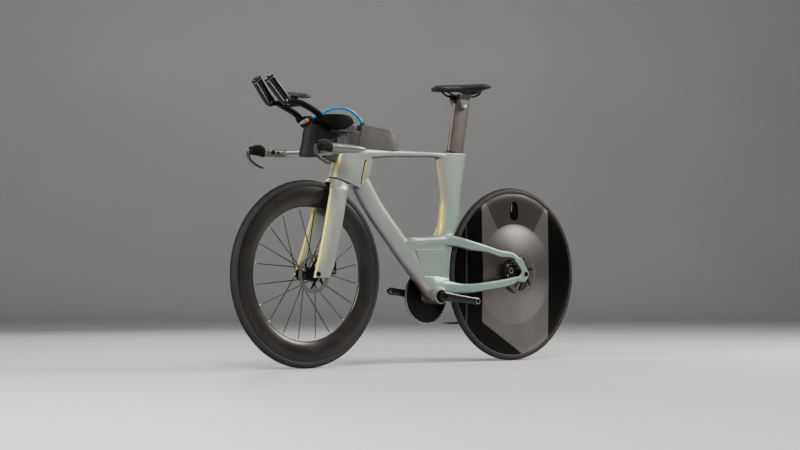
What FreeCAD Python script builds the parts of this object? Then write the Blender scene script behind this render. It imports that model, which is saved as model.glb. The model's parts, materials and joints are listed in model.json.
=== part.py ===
import FreeCAD, Part
import os, math

os.makedirs("parts", exist_ok=True)
V = FreeCAD.Vector

# ------------------------------------------------------------------ driving dimensions (mm)
# Frame: +X forward, +Y to the rider's left, +Z up. The origin is on the ground,
# halfway along the bike, under its middle plane.
WHEEL_R = 339.0          # tyre outer radius
TYRE_R = 14.0            # tyre section radius
XF, XR = 515.0, -515.0   # axle positions
HUB_Z = WHEEL_R
HEAD_ANGLE = 73.0        # steering axis, degrees from the ground
RAKE = 45.0              # fork offset
BB_X, BB_Z = -102.0, 255.0
CRANK_L = 160.0
CRANK_DIR = 187.0        # left arm, degrees in the XZ plane
RIM_INNER = 242.0        # inner radius of the deep front rim
RIM_SEAT = 316.8         # radius of the tyre seat
FRONT_OLD = 50.0         # half the front hub width
REAR_OLD = 71.0          # half the rear hub width
ROTOR_F, ROTOR_R = 70.0, 80.0   # rotor radii, front and rear
ROTOR_F_Y, ROTOR_R_Y = 40.0, 55.0
CHAIN_Y = -45.0
PITCH = 12.7
RING_T, COG_T, PULLEY_T = 52, 17, 12
COGS = [11, 12, 13, 14, 15, 16, 17, 19, 21, 24, 27, 30]
COG_STEP = 3.65
SPOKES = 20
POST_LEAN = (-0.1697, 0.0, 0.9855)   # seatpost direction
LEVER_Y = 196.0          # half the base bar width at the levers
GRIP_BASE = (646.0, 45.0, 951.0)
GRIP_TOP = (719.0, 36.0, 1035.0)
PEDAL_R = 7.14           # 9/16 inch pedal thread
AXLE_R = 6.0

Y = V(0, 1, 0)
X = V(1, 0, 0)
Z = V(0, 0, 1)


# ------------------------------------------------------------------ helpers
def cyl(r, h, p, d):
    return Part.makeCylinder(r, h, V(*p), V(*d))


def box(x0, x1, y0, y1, z0, z1):
    return Part.makeBox(x1 - x0, y1 - y0, z1 - z0, V(x0, y0, z0))


def prism(pts, y0, y1):
    """Outline in the XZ plane, extruded along Y."""
    w = Part.makePolygon([V(x, y0, z) for x, z in pts] + [V(pts[0][0], y0, pts[0][1])])
    return Part.Face(w).extrude(V(0, y1 - y0, 0))


def spow(c, p):
    return math.copysign(abs(c) ** p, c)


def section(c, v, w, lead, trail, half, m1=2.3, m2=2.3, n=16):
    """Closed smooth outline round c: lead along v, trail against it, half-width along w."""
    c, v, w = V(*c), V(*v), V(*w)
    pts = []
    for i in range(n):
        a = 2 * math.pi * i / n
        cs, sn = math.cos(a), math.sin(a)
        m = m1 if cs >= 0 else m2
        pts.append(c + v * ((lead if cs >= 0 else trail) * spow(cs, 2.0 / m)) + w * (half * spow(sn, 2.0 / m)))
    b = Part.BSplineCurve()
    b.interpolate(Points=pts, PeriodicFlag=True)
    return Part.Wire([b.toShape()])


def loft(wires, ruled=False):
    s = Part.makeLoft(wires, True, ruled)
    if s.Volume < 0:
        s.reverse()
    return s


def fuse(items):
    s = items[0].multiFuse(items[1:])
    return one(s)


def one(s):
    """The largest solid of a result."""
    if s.ShapeType == "Solid":
        return s
    return max(s.Solids, key=lambda q: q.Volume)


def mirror(s):
    return s.mirror(V(0, 0, 0), Y)


def revolve(pts, c):
    """Profile of (radius, y) turned about the Y axis through c=(x, z)."""
    w = Part.makePolygon([V(c[0] + r, y, c[1]) for r, y in pts] + [V(c[0] + pts[0][0], pts[0][1], c[1])])
    return Part.Face(w).revolve(V(c[0], 0, c[1]), Y, 360)


def pipe(points, r, flex=0.45, report=None):
    """Round tube along straight runs joined by tangent arcs."""
    P = [V(*p) for p in points]
    edges, prev, length = [], P[0], 0.0
    for i in range(1, len(P) - 1):
        a, b = P[i] - P[i - 1], P[i + 1] - P[i]
        la, lb = a.Length, b.Length
        a.normalize()
        b.normalize()
        turn = math.acos(max(-1, min(1, a.dot(b))))
        t = flex * min(la, lb)
        rad = t / math.tan(turn / 2)
        if report is not None:
            report.append(round(rad, 1))
        p1, p2 = P[i] - a * t, P[i] + b * t
        bis = b - a
        bis.normalize()
        mid = P[i] + bis * (math.sqrt(rad * rad + t * t) - rad)
        edges.append(Part.LineSegment(prev, p1).toShape())
        edges.append(Part.Arc(p1, mid, p2).toShape())
        length += (p1 - prev).Length + rad * turn
        prev = p2
    edges.append(Part.LineSegment(prev, P[-1]).toShape())
    length += (P[-1] - prev).Length
    path = Part.Wire(edges)
    d = P[1] - P[0]
    d.normalize()
    prof = Part.Wire([Part.makeCircle(r, P[0], d)])
    s = path.makePipeShell([prof], True, False)
    if s.Volume < 0:
        s.reverse()
    return s, length


def save(name, shape):
    if isinstance(shape, list):
        shape = Part.makeCompound(shape)
    bad = [i for i, q in enumerate(shape.Solids) if not q.isValid() or q.Volume <= 0]
    if not shape.Solids or bad:
        print("CHECK", name, "solids", len(shape.Solids), "bad", bad)
    shape.exportStep("parts/%s.step" % name)
    b = shape.BoundBox
    print("%-22s %3d solids  vol %10.0f  x %.0f..%.0f y %.0f..%.0f z %.0f..%.0f" % (
        name, len(shape.Solids), sum(q.Volume for q in shape.Solids), b.XMin, b.XMax, b.YMin, b.YMax, b.ZMin, b.ZMax))


# ------------------------------------------------------------------ steering axis
TILT = 90.0 - HEAD_ANGLE
AX = V(-math.sin(math.radians(TILT)), 0, math.cos(math.radians(TILT)))    # up the axis
FW = V(math.cos(math.radians(TILT)), 0, math.sin(math.radians(TILT)))     # forward, square to it
AXIS_X = XF - RAKE / math.cos(math.radians(TILT))                          # axis at hub height
SPLIT_Z = 677.0                                                            # fork crown seam on the axis
O = V(AXIS_X - (SPLIT_Z - HUB_Z) * math.tan(math.radians(TILT)), 0, SPLIT_Z)
STEER = FreeCAD.Placement(O, FreeCAD.Rotation(Y, -TILT))


def S(s, y, t):
    return O + FW * s + Y * y + AX * t


def steer(shape):
    q = shape.copy()
    q.transformShape(STEER.toMatrix())
    return q


def axis_cyl(r, t0, t1):
    return Part.makeCylinder(r, t1 - t0, S(0, 0, t0), AX)


HEAD_T = 124.0      # top of the head tube along the axis
fv, av = tuple(FW), tuple(AX)

# ------------------------------------------------------------------ frame
head = loft([section(tuple(S(0, 0, t)), fv, (0, 1, 0), a, b, h, 2.2, 2.5) for t, a, b, h in (
    (1.5, 46, 98, 29.5), (40, 45, 128, 28.5), (85, 43.5, 131, 27.5), (HEAD_T, 42, 131, 27))])

DT = (0.743, 0, -0.669)     # down tube, front side
down = loft([section(c, v, (0, 1, 0), a, b, h, 2.5, 2.5) for c, v, a, b, h in (
    ((296, 0, 716), DT, 30, 30, 17),
    ((264, 0, 672), DT, 41, 41, 22),
    ((218, 0, 606), DT, 41, 41, 21),
    ((141.5, 0, 518), DT, 41, 41, 21),
    ((105.6, 0, 480), DT, 41, 41, 21.5),
    ((48, 0, 417), DT, 41, 41, 23),
    ((-16, 0, 354), DT, 41, 42, 25),
    ((-52, 0, 318), (0.7, 0, -0.714), 40, 42, 28),
    ((-84, 0, 282), (0.6, 0, -0.8), 38, 40, 32),
    ((-114, 0, 260), (0.0, 0, -1.0), 28.5, 38, 35.5))])

top = loft([section((x, 0, (z0 + z1) / 2.0), (0, 0, 1), (0, 1, 0), (z1 - z0) / 2.0, (z1 - z0) / 2.0, h, 2.6, 2.6)
            for x, z0, z1, h in (
    (318, 762, 803, 21), (300, 760, 805, 26.5), (280, 761, 805, 28.4), (255, 763, 805, 27.2), (214, 765, 805, 24),
    (155, 771, 805, 20.5), (86, 776, 805, 18.5),
    (-14, 779.5, 805, 17.5), (-86, 782, 805, 17.5), (-135, 775, 805, 18), (-190, 768, 804, 17))])

REAR_CUT = cyl(352, 200, (XR, -100, HUB_Z), (0, 1, 0))

seat = loft([section((f - 0.42 * (f - r), 0, z), (1, 0, 0), (0, 1, 0), 0.42 * (f - r), 0.58 * (f - r), h, 2.2, 2.5)
             for z, r, f, h in (
    (803, -267, -112, 18), (765, -259, -112, 19), (728, -251, -117, 19.5), (660, -237, -130, 20), (603, -231, -132.5, 20),
    (545, -224, -126, 21), (510, -209, -118, 22), (478, -194, -100, 24), (452, -186, -88, 24))]).cut(REAR_CUT)

brace = loft([section((x, 0, (z0 + z1) / 2.0), (0, 0, 1), (0, 1, 0), (z1 - z0) / 2.0, (z1 - z0) / 2.0, h, 2.6, 2.6)
              for x, z0, z1, h in (
    (74, 438, 470, 18), (14, 437, 477, 24.5), (-66, 442, 484, 26.5), (-120, 444, 487, 27.5), (-178, 444, 488, 31))]).cut(REAR_CUT)

web = prism([(40, 476), (-182, 478), (-182, 300), (-118, 262), (-84, 282), (-52, 318), (-16, 354), (48, 417), (70, 446)], -21.6, 21.6).cut(REAR_CUT)

shell = cyl(30, 86, (BB_X, -43, BB_Z), (0, 1, 0))

# shoulder under the storage panel, spreading from the web out to the bottom bracket
gusset = loft([section((x, 0, z), (1, 0, 0), (0, 1, 0), a, b, h, 2.8, 2.8) for z, x, a, b, h in (
    (268, -112, 32, 44, 34), (290, -110, 37, 46, 33.5), (308, -105, 44, 45, 29.5), (323, -98, 50, 42, 24.5), (337, -92, 52, 42, 20.8))])


def seat_stay(sign):
    return loft([section((x, sign * y, z), (0, 0, 1), (0, sign, 0), h, h, w, 2.5, 2.5) for x, z, h, y, w in (
        (-138, 466, 19, 15, 12), (-179, 465, 21.5, 26.5, 10.5), (-210, 459, 21, 36, 10), (-239, 451, 20.5, 44, 9.5),
        (-285, 438.5, 19.5, 53, 9), (-332, 425.5, 18.5, 59, 8.5), (-400, 409, 17.5, 65.5, 8), (-474, 393, 16, 72, 7.5))])


def chain_stay(sign):
    return loft([section((x, sign * y, z), (0, 0, 1), (0, sign, 0), h, h, w, 2.5, 2.5) for x, z, h, y, w in (
        (-104, 284, 24, 19, 14), (-150, 287, 27, 24.5, 11), (-200, 284.5, 20.5, 29, 9), (-245, 283.5, 18.5, 38, 9),
        (-310, 290, 17, 51, 9), (-386, 300, 16.5, 61, 8.5), (-450, 312, 14.5, 68.5, 7.5), (-496, 321, 12, 74.5, 6))])


def dropout(sign):
    p = prism([(-462, 403), (-462, 386), (-487, 362), (-497, 347), (-487, 334), (-472, 329), (-472, 310), (-508, 307), (-526, 321),
               (-532, 339), (-527, 353), (-499, 396), (-488, 404)], REAR_OLD, REAR_OLD + 10)
    p = p.fuse(cyl(17, 10, (XR, REAR_OLD, HUB_Z), (0, 1, 0)))
    if sign < 0:
        p = p.fuse(prism([(-531, 330), (-532, 306), (-521, 300), (-511, 306), (-505, 330)], REAR_OLD + 2, REAR_OLD + 10))
        p = mirror(p)
    return p


frame = fuse([head, down, top, seat, brace, web, shell, gusset, seat_stay(1), seat_stay(-1), chain_stay(1), chain_stay(-1),
              dropout(1), dropout(-1)])

# clearances round the wheels and the turning fork crown
frame = frame.cut(cyl(350, 35, (XR, -17.5, HUB_Z), (0, 1, 0)))
frame = frame.cut(cyl(347.5, 120, (XF, -60, HUB_Z), (0, 1, 0)))
frame = frame.cut(axis_cyl(55, -90, 1.4))
frame = frame.cut(axis_cyl(37.5, HEAD_T + 0.2, HEAD_T + 90))
# head tube bore and bearing seats
frame = frame.cut(axis_cyl(16.5, 0, HEAD_T + 2))
frame = frame.cut(axis_cyl(26.0, 0, 10.0))
frame = frame.cut(axis_cyl(20.9, HEAD_T - 8.5, HEAD_T + 2))
# bottom bracket bore
frame = frame.cut(cyl(21, 120, (BB_X, -60, BB_Z), (0, 1, 0)))
# axle holes and derailleur bolt hole
frame = frame.cut(cyl(AXLE_R + 0.1, 200, (XR, -100, HUB_Z), (0, 1, 0)))
frame = frame.cut(cyl(5.0, 30, (-521, -100, 311), (0, 1, 0)))

# seatpost: flat streamlined bar in a matching socket
PD = V(*POST_LEAN)
POST_N = V(PD.z, 0, -PD.x)            # forward, square to the post


def post_at(z):
    return V(-207 - (z - 812) * 0.1722, 0, z)


def post_bar(z0, z1, grow):
    w = section(tuple(post_at(z0)), tuple(POST_N), (0, 1, 0), 36 + grow, 46 + grow, 11.5 + grow, 2.2, 2.0, 20)
    return Part.Face(w).extrude(PD * ((z1 - z0) / PD.z))


frame = frame.cut(post_bar(636, 840, 0.45))
# pocket of the wedge that holds the post
wedge_pocket = box(-172, -150, -8, 8, 782, 812)
frame = frame.cut(wedge_pocket)

# recess down each side of the head tube: deep along its front edge, running out to the surface at its rear edge
GROOVE = [(262, 758), (281, 685), (263, 671), (239, 757)]
groove = prism(GROOVE, 8, 40)
ge = V(GROOVE[1][0] - GROOVE[0][0], 0, GROOVE[1][1] - GROOVE[0][1])
ge.normalize()
gw = V(ge.z, 0, -ge.x)                 # rearward, square to the front edge
GROOVE_RISE = math.radians(27)
gf = gw * math.cos(GROOVE_RISE) + Y * math.sin(GROOVE_RISE)
gn = Y * math.cos(GROOVE_RISE) - gw * math.sin(GROOVE_RISE)
bed = Part.makeBox(300, 200, 60, V(-100, -100, -60))
bed.transformShape(FreeCAD.Matrix(ge.x, gf.x, gn.x, GROOVE[0][0], ge.y, gf.y, gn.y, 14.5, ge.z, gf.z, gn.z, GROOVE[0][1], 0, 0, 0, 1))
groove = one(groove.cut(bed))
frame = frame.cut(groove).cut(mirror(groove))

# storage space in the lower triangle, open on the left
COVER = [(12, 433), (-33, 332), (-134, 330), (-150, 436)]


def inset(pts, d):
    cx = sum(p[0] for p in pts) / len(pts)
    cz = sum(p[1] for p in pts) / len(pts)
    out = []
    for x, z in pts:
        k = math.hypot(x - cx, z - cz)
        out.append((x + (cx - x) * d / k, z + (cz - z) * d / k))
    return out


frame = frame.cut(prism(COVER, 20.2, 60))
frame = frame.cut(prism(inset(COVER, 8), -15, 30))
frame = one(frame)
save("frame", frame)
save("compartment_cover", prism(inset(COVER, 0.7), 20.4, 23.6))

save("headset_bearings", [axis_cyl(25.9, 2.4, 9.4).cut(axis_cyl(20.06, 2, 10)),
                          axis_cyl(20.8, HEAD_T - 8, HEAD_T - 1).cut(axis_cyl(14.36, HEAD_T - 9, HEAD_T))])


def cup(y0, y1, fy0, fy1):
    c = cyl(20.95, y1 - y0, (BB_X, y0, BB_Z), (0, 1, 0)).fuse(cyl(24, fy1 - fy0, (BB_X, fy0, BB_Z), (0, 1, 0)))
    return one(c.cut(cyl(12.05, 120, (BB_X, -60, BB_Z), (0, 1, 0))))


save("bottom_bracket_cups", [cup(31, 43.2, 43.2, 45.6), cup(-43.2, -31, -45.6, -43.2)])

wedge = prism([(-151, 783), (-151, 804), (-165.4, 804), (-162.4, 783)], -7, 7)
wedge = wedge.cut(post_bar(760, 830, 0.4)).cut(cyl(2.6, 40, (-156, 0, 775), (0, 0, 1)))
save("seatpost_clamp", [one(wedge), cyl(2.5, 16, (-156, 0, 785), (0, 0, 1)).fuse(cyl(4, 3, (-156, 0, 801.5 + 2.6), (0, 0, 1)))])

# ------------------------------------------------------------------ seatpost and saddle
post = post_bar(668, 1010, 0.0).cut(box(-400, 0, -50, 50, 997, 1100))
TILT_P = (-238.0, 984.0)
post = post.cut(cyl(8.0, 60, (TILT_P[0], -30, TILT_P[1]), (0, 1, 0)))
save("seatpost", one(post))

RAIL_Y, RAIL_Z = 21.0, 1024.0
rails = []
for sg in (1, -1):
    s, _ = pipe([(-118, sg * 9, 1050), (-146, sg * 12, 1044), (-186, sg * RAIL_Y, RAIL_Z), (-290, sg * RAIL_Y, RAIL_Z),
                 (-318, sg * 26, 1036), (-326, sg * 28, 1058)], 3.5, 0.40)
    rails.append(s)
save("saddle_rails", rails)
ears = []
for sg in (1, -1):
    y0, y1 = (13.2, 28) if sg > 0 else (-28, -13.2)
    e = prism([(-250, 974), (-226, 974), (-206, 1024), (-208, 1031), (-268, 1031), (-270, 1024)], y0, y1)
    ears.append(e)
clamp = fuse([cyl(7.93, 56, (TILT_P[0], -28, TILT_P[1]), (0, 1, 0))] + ears)
for sg in (1, -1):
    clamp = clamp.cut(cyl(3.55, 120, (-300, sg * RAIL_Y, RAIL_Z), (1, 0, 0)))
save("saddle_clamp", one(clamp))

saddle = loft([section((x, 0, (z0 + z1) / 2.0), (0, 0, 1), (0, 1, 0), (z1 - z0) / 2.0, (z1 - z0) / 2.0, h, 2.6, 2.2)
               for x, z0, z1, h in (
    (-95, 1040, 1050, 9), (-104, 1036, 1056, 19), (-125, 1037, 1061, 25), (-165, 1040, 1065, 28), (-215, 1043, 1067, 33),
    (-260, 1046, 1070, 46), (-305, 1049, 1073, 61), (-335, 1052, 1075, 65), (-350, 1056, 1074, 60), (-357, 1060, 1071, 48))])
save("saddle", saddle)

# ------------------------------------------------------------------ top tube box with lid and hinge
bx = loft([section(((r + f) / 2.0, 0, z), (1, 0, 0), (0, 1, 0), (f - r) / 2.0, (f - r) / 2.0, h, 5, 5, 32) for z, r, f, h in (
    (793, 79, 330, 19.5), (850, 102, 325, 19), (898, 122, 318, 17))])
bx = bx.cut(axis_cyl(36.0, 60, 320)).cut(prism([(40, 873.5), (340, 894.5), (340, 960), (40, 960)], -40, 40))
bx = one(bx.cut(box(292, 340, -40, 40, 780, 920)).cut(top))
inner = loft([section(((r + f) / 2.0, 0, z), (1, 0, 0), (0, 1, 0), (f - r) / 2.0, (f - r) / 2.0, h, 5, 5, 32) for z, r, f, h in (
    (808.5, 88, 250, 16.8), (850, 106, 246, 16.2), (898, 126, 240, 14))])
lid_zone = prism([(60, 863), (226, 874.6), (226, 960), (60, 960)], -40, 40)
lid_cut = prism([(60, 862.6), (226.4, 874.2), (226.4, 960), (60, 960)], -40, 40)
deck = prism([(60, 865), (260, 879), (260, 960), (60, 960)], -40, 40)
lid = one(bx.common(lid_zone))
HINGE = (115.5, 869.5)
tank = bx.cut(inner.cut(deck)).cut(lid_cut)
for sg in (1, -1):
    y0, y1 = (8.4, 13.4) if sg > 0 else (-13.4, -8.4)
    ear = cyl(3.6, 5.0, (HINGE[0], y0, HINGE[1]), (0, 1, 0)).fuse(prism([(112, 869), (104.5, 850), (112, 850), (118.6, 862), (118.6, 869)], y0, y1))
    tank = tank.fuse(ear)
tank = tank.cut(cyl(1.5, 60, (HINGE[0], -30, HINGE[1]), (0, 1, 0)))
tank = tank.cut(box(100, 119.4, -8.2, 8.2, 864.4, 890))
# socket where the drinking hose enters the front deck
HOSE_END = V(247.5, 0.0, 872.0)
HOSE_UP = V(0.2957, 0.0, 0.9553)
tank = tank.fuse(Part.makeCylinder(10.0, 14, HOSE_END + HOSE_UP * 9, HOSE_UP))
tank = tank.cut(Part.makeCylinder(6.6, 60, HOSE_END, HOSE_UP))
save("storage_box", one(tank))
lid = lid.cut(box(90, 121.0, -40, 40, 850, 900))
lid = lid.fuse(cyl(3.6, 16, (HINGE[0], -8, HINGE[1]), (0, 1, 0))).fuse(prism([(115.5, 873.1), (122, 875.5), (122, 868.0), (115.5, 868.5)], -8, 8))
lid = lid.cut(cyl(1.56, 60, (HINGE[0], -30, HINGE[1]), (0, 1, 0)))
save("storage_lid", one(lid))
save("lid_hinge_pin", cyl(1.5, 26.8, (HINGE[0], -13.4, HINGE[1]), (0, 1, 0)))

# ------------------------------------------------------------------ fork
crown = loft([section(tuple(S(0, 0, t)), fv, (0, 1, 0), a, b, h, 2.3, 2.3) for t, a, b, h in (
    (-1.6, 46, 42, 30), (-12, 52, 42.5, 36), (-24, 58, 42, 43), (-40, 58, 30, 46))])


def leg(sign):
    return loft([section((f - 0.45 * (f - r), sign * y, z), (1, 0, 0), (0, sign, 0), 0.45 * (f - r), 0.55 * (f - r), h, 2.2, 1.9)
                 for z, r, f, y, h in (
        (654, 346, 436, 33, 12), (624, 358, 443, 37, 11.5), (570, 373, 458, 42, 11), (515, 388, 473, 46.5, 10.5),
        (460, 404, 489, 50.5, 10.2), (407, 420.5, 505, 54, 10), (365, 436, 519, 57, 9.2), (325, 462, 531, 59, 8.6))])


fork = fuse([crown, leg(1), leg(-1), axis_cyl(14.3, -20, 146), axis_cyl(20.0, -20, 9.6)])
fork = fork.cut(cyl(346.5, 41, (XF, -20.5, HUB_Z), (0, 1, 0)))
fork = fork.cut(cyl(AXLE_R + 0.1, 200, (XF, -100, HUB_Z), (0, 1, 0)))
fork = fork.cut(cyl(13, 2 * FRONT_OLD + 0.2, (XF, -FRONT_OLD - 0.1, HUB_Z), (0, 1, 0)))
fork = fork.cut(axis_cyl(11.5, -60, 160))
save("fork", one(fork))


def hollow_axle(x, half):
    a = cyl(AXLE_R, 2 * half, (x, -half, HUB_Z), (0, 1, 0))
    a = a.fuse(cyl(8.5, 2.5, (x, half, HUB_Z), (0, 1, 0)))
    return one(a.cut(cyl(3.6, 4 * half, (x, -2 * half, HUB_Z), (0, 1, 0))))


save("front_axle", hollow_axle(XF, 67.2))
save("rear_axle", hollow_axle(XR, 81.2))

# ------------------------------------------------------------------ base bar and stem
wing = loft([section((xc, y, z), (1, 0, 0), (0, 0, 1), a, b, h, 2.2, 1.7) for y, xc, z, a, b, h in (
    (-194, 452, 783, 26, 30, 10), (-150, 452, 782, 26, 30, 10), (-70, 452, 779, 26, 29, 10.5), (0, 452, 778, 26, 29, 12),
    (70, 452, 779, 26, 29, 10.5), (150, 452, 782, 26, 30, 10), (194, 452, 783, 26, 30, 10))])


def bar_grip(sign):
    return loft([section((x, sign * LEVER_Y, z), (0, 0, 1), (0, sign, 0), a, a, h, 2.3, 2.3) for x, z, a, h in (
        (402, 783, 3.5, 5), (416, 783, 7.5, 9), (440, 783, 12.5, 12), (480, 783.5, 15, 12.6), (530, 784, 16, 13), (561, 784, 16, 13))])


bar = fuse([wing, bar_grip(1), bar_grip(-1)])
blips = {}
for sg, nm in ((1, "left"), (-1, "right")):
    # push button on the inner face of each bar grip
    bar = bar.cut(cyl(7.3, 12.5, (528, sg * (LEVER_Y - 18), 786), (0, sg, 0)))
    blips[nm] = fuse([cyl(7.0, 9, (528, sg * (LEVER_Y - 16), 786), (0, sg, 0)), cyl(4.5, 2, (528, sg * (LEVER_Y - 17.2), 786), (0, sg, 0))])
bar = one(bar)
save("base_bar", bar)
save("shift_button_left", blips["left"])
save("shift_button_right", blips["right"])

ha = Part.makeBox(60, 44, 104, V(-40, -22, HEAD_T + 2)).common(Part.makeCylinder(34.5, 104, V(0, 0, HEAD_T + 2), Z))
ha = ha.common(Part.makeBox(60, 44, 200, V(-40, -22, 0)))
hb = Part.makeBox(92, 44, 90, V(0, -22, HEAD_T + 2))
hc = Part.makeBox(58, 44, 40, V(53, -22, 55))
hd = Part.makeBox(25, 44, 60, V(53, -22, 80))
stem = fuse([ha, hb, hc, hd])
try:
    tops = [e for e in stem.Edges if min(v.Z for v in e.Vertexes) > HEAD_T + 91 and e.Length > 20]
    st2 = stem.makeFillet(5.0, tops)
    if st2.isValid() and st2.Volume > 0:
        stem = st2
except Exception as err:
    print("stem fillet left out", err)
stem = steer(one(stem))
stem = stem.cut(axis_cyl(14.36, 60, 148)).cut(bar)
stem = one(stem)
save("stem", stem)

bottle = loft([section((xf - 0.45 * (xf - xr), 0, z), (1, 0, 0), (0, 1, 0), 0.45 * (xf - xr), 0.55 * (xf - xr), h, 2.2, 3.0, 20)
               for z, xr, xf, h in ((761, 398, 546, 27), (800, 394, 540, 28.5), (840, 390, 532, 28), (866, 388, 525, 26), (880, 392, 510, 20))])
bottle = bottle.cut(box(300, 482.5, -60, 60, 700, 797)).cut(bar).cut(stem)
bottle = one(bottle)
clip = prism([(490, 872), (508, 870), (508, 892.0), (490, 899.0)], -9, 9)
V0, V1 = V(500.0, 0, 899.0), V(556.0, 0, 875.0)      # bite valve, rear end and tip
VD = (V1 - V0)
VD.normalize()
clip = clip.cut(Part.makeCylinder(8.6, 80, V0 - VD * 15, VD))
bottle = one(bottle.fuse(clip).cut(Part.makeCylinder(8.6, 80, V0 - VD * 15, VD)))
save("front_bottle", bottle)


def vcyl(r0, r1, a, b):
    h = b - a
    if abs(r0 - r1) < 1e-6:
        return Part.makeCylinder(r0, h, V0 + VD * a, VD)
    return Part.makeCone(r0, r1, h, V0 + VD * a, VD)


valve = fuse([vcyl(6.2, 6.2, 0, 8), vcyl(8.2, 8.2, 8, 14)])
ring = vcyl(8.4, 8.4, 14, 20)
mouth = fuse([vcyl(8.0, 8.0, 20, 27), vcyl(6.6, 6.6, 27, 30), vcyl(8.0, 8.0, 30, 36), vcyl(6.6, 6.6, 36, 39), vcyl(7.8, 6.2, 39, 50), vcyl(6.2, 3.4, 50, 57)])
save("bite_valve", [valve, ring, mouth])

back = V0 - VD * 24
hose_pts = [tuple(V0), tuple(back), (448, 0, 922.2), (416.5, 0, 935.6), (383.5, 0, 944.8), (350, 0, 947.2), (318, 0, 941.8), (289.5, 0, 929.0),
            (267.5, 0, 911.5), (254.0, 0, 893.0), tuple(HOSE_END)]
HOSE_R = 5.5
radii = []
hose, hose_len = pipe(hose_pts, HOSE_R, 0.45, radii)
print("hose radii", radii, "length %.1f" % hose_len, "volume/section*length %.4f" % (hose.Volume / (math.pi * HOSE_R ** 2 * hose_len)))
save("drink_hose", hose)

# ------------------------------------------------------------------ levers


def lever_body(sign):
    b = loft([section((x, sign * LEVER_Y, z), (0, 0, 1), (0, sign, 0), a, a, h, 2.6, 2.6) for x, z, a, h in (
        (561.2, 784, 16, 13), (574, 789, 20.5, 14), (590, 792, 20.5, 14.2), (606, 791.5, 18.5, 13.6), (620, 790, 14.5, 12), (627, 789, 9, 9))])
    b = b.cut(box(598, 640, sign * LEVER_Y - 5.4, sign * LEVER_Y + 5.4, 740, 803))
    return one(b.cut(cyl(2.5, 60, (612, sign * LEVER_Y - 30, 790), (0, 1, 0))))


save("lever_bodies", [lever_body(1), lever_body(-1)])
save("lever_pivot_pins", [cyl(2.5, 22, (612, LEVER_Y - 11, 790), (0, 1, 0)), cyl(2.5, 22, (612, -LEVER_Y - 11, 790), (0, 1, 0))])


def ribbon(mid, wid, n=6):
    """Curved flat strip outline from a middle line and half-widths."""
    b = Part.BSplineCurve()
    b.interpolate([V(x, 0, z) for x, z in mid])
    L, R = [], []
    f0, f1 = b.FirstParameter, b.LastParameter
    N = n * (len(mid) - 1)
    for i in range(N + 1):
        u = f0 + (f1 - f0) * i / N
        p, d = b.value(u), b.tangent(u)[0]
        k = i / float(n)
        j = min(int(k), len(wid) - 2)
        w = wid[j] + (wid[j + 1] - wid[j]) * (k - j)
        q = V(-d.z, 0, d.x)
        L.append(p + q * w)
        R.append(p - q * w)
    return [(p.x, p.z) for p in L + R[::-1]]


def brake_lever(sign):
    pts = ribbon([(606, 791), (620, 790.5), (630, 784), (631.5, 770), (623, 754), (606, 741.5), (586, 732), (565, 727)],
                 [6.0, 6.0, 5.0, 4.6, 4.4, 4.2, 4.0, 3.0])
    s = prism(pts, sign * LEVER_Y - 5, sign * LEVER_Y + 5)
    s = s.fuse(cyl(6.2, 10, (612, sign * LEVER_Y - 5, 790), (0, 1, 0)))
    return one(s.cut(cyl(2.55, 40, (612, sign * LEVER_Y - 20, 790), (0, 1, 0))))


save("brake_lever_left", brake_lever(1))
save("brake_lever_right", brake_lever(-1))

# ------------------------------------------------------------------ arm rests


CUP = ((362, 63, 24, 874, 904), (372, 63, 34, 865, 910), (395, 63, 40, 860.5, 912.5), (430, 62.5, 41, 860, 913), (465, 61.5, 38, 866, 912.5),
       (488, 60.5, 32, 878, 912), (503, 60, 24, 892, 911))
PAD = ((377, 63, 35.5, 863.8, 910.6), (400, 63, 40.2, 860.4, 912.6), (430, 62.5, 41, 860, 913), (460, 61.6, 38.6, 864.6, 912.6))


def u_wire(x, y, h, zb, zt, d):
    h, zb = h - d, zb + d
    out = []
    for i in range(15):
        a = math.pi * i / 14
        out.append(V(x, y + h * spow(math.cos(a), 2 / 2.5), zt - (zt - zb) * math.sin(a) ** (2 / 2.5)))
    return out


def trough(stations, d0, d1, top0=0.0):
    ws = []
    for x, y, h, zb, zt in stations:
        o, i = u_wire(x, y, h, zb, zt - top0, d0), u_wire(x, y, h, zb, zt - top0, d1)
        co, ci = Part.BSplineCurve(), Part.BSplineCurve()
        co.interpolate(o)
        ci.interpolate(i[::-1])
        ws.append(Part.Wire([co.toShape(), Part.LineSegment(o[-1], i[-1]).toShape(), ci.toShape(), Part.LineSegment(i[0], o[0]).toShape()]))
    return loft(ws)


dish = trough(CUP, 0.0, 3.6)
# slim extension from the front of each cup to the hand grip
ext = loft([section((x, y, z), (0, 0, 1), (0, 1, 0), hz, hz, hy, 2.6, 2.6) for x, y, z, hz, hy in (
    (475, 60.8, 879.5, 9, 14), (490, 60.5, 894, 9.5, 16), (510, 60, 912.5, 9.5, 17), (536, 60, 927, 9.5, 17), (557, 60, 935.5, 9.5, 17),
    (577, 58.5, 943, 9.8, 16.5), (598, 54.5, 950, 9.5, 15.5), (614, 50, 952.5, 9.2, 14), (634, 46, 950.5, 8.6, 12.5), (646, 45.2, 950, 7.5, 10))])
cupL = fuse([dish, ext])
save("arm_cups", [cupL, mirror(cupL)])
padL = one(trough(PAD, 4.0, 12.0, 14.0).cut(cupL))
save("arm_pads", [padL, mirror(padL)])


def riser():
    p = prism([(341, 808), (396, 806), (396, 858.0), (341, 853.5)], 22, 26.0)
    p = p.fuse(prism([(352, 853.0), (396, 854.6), (396, 858.4), (352, 857.0)], 25, 34))
    p = p.fuse(prism([(352, 853.0), (430, 855.5), (430, 859.0), (352, 857.0)], 31, 82))
    p = p.fuse(box(392, 428, 48, 76, 856, 862.4))
    p = p.cut(cupL)
    for x in (347, 381):
        p = p.cut(cyl(2.6, 20, (x, 15, 846), (0, 1, 0)))
    return one(p)


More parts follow.
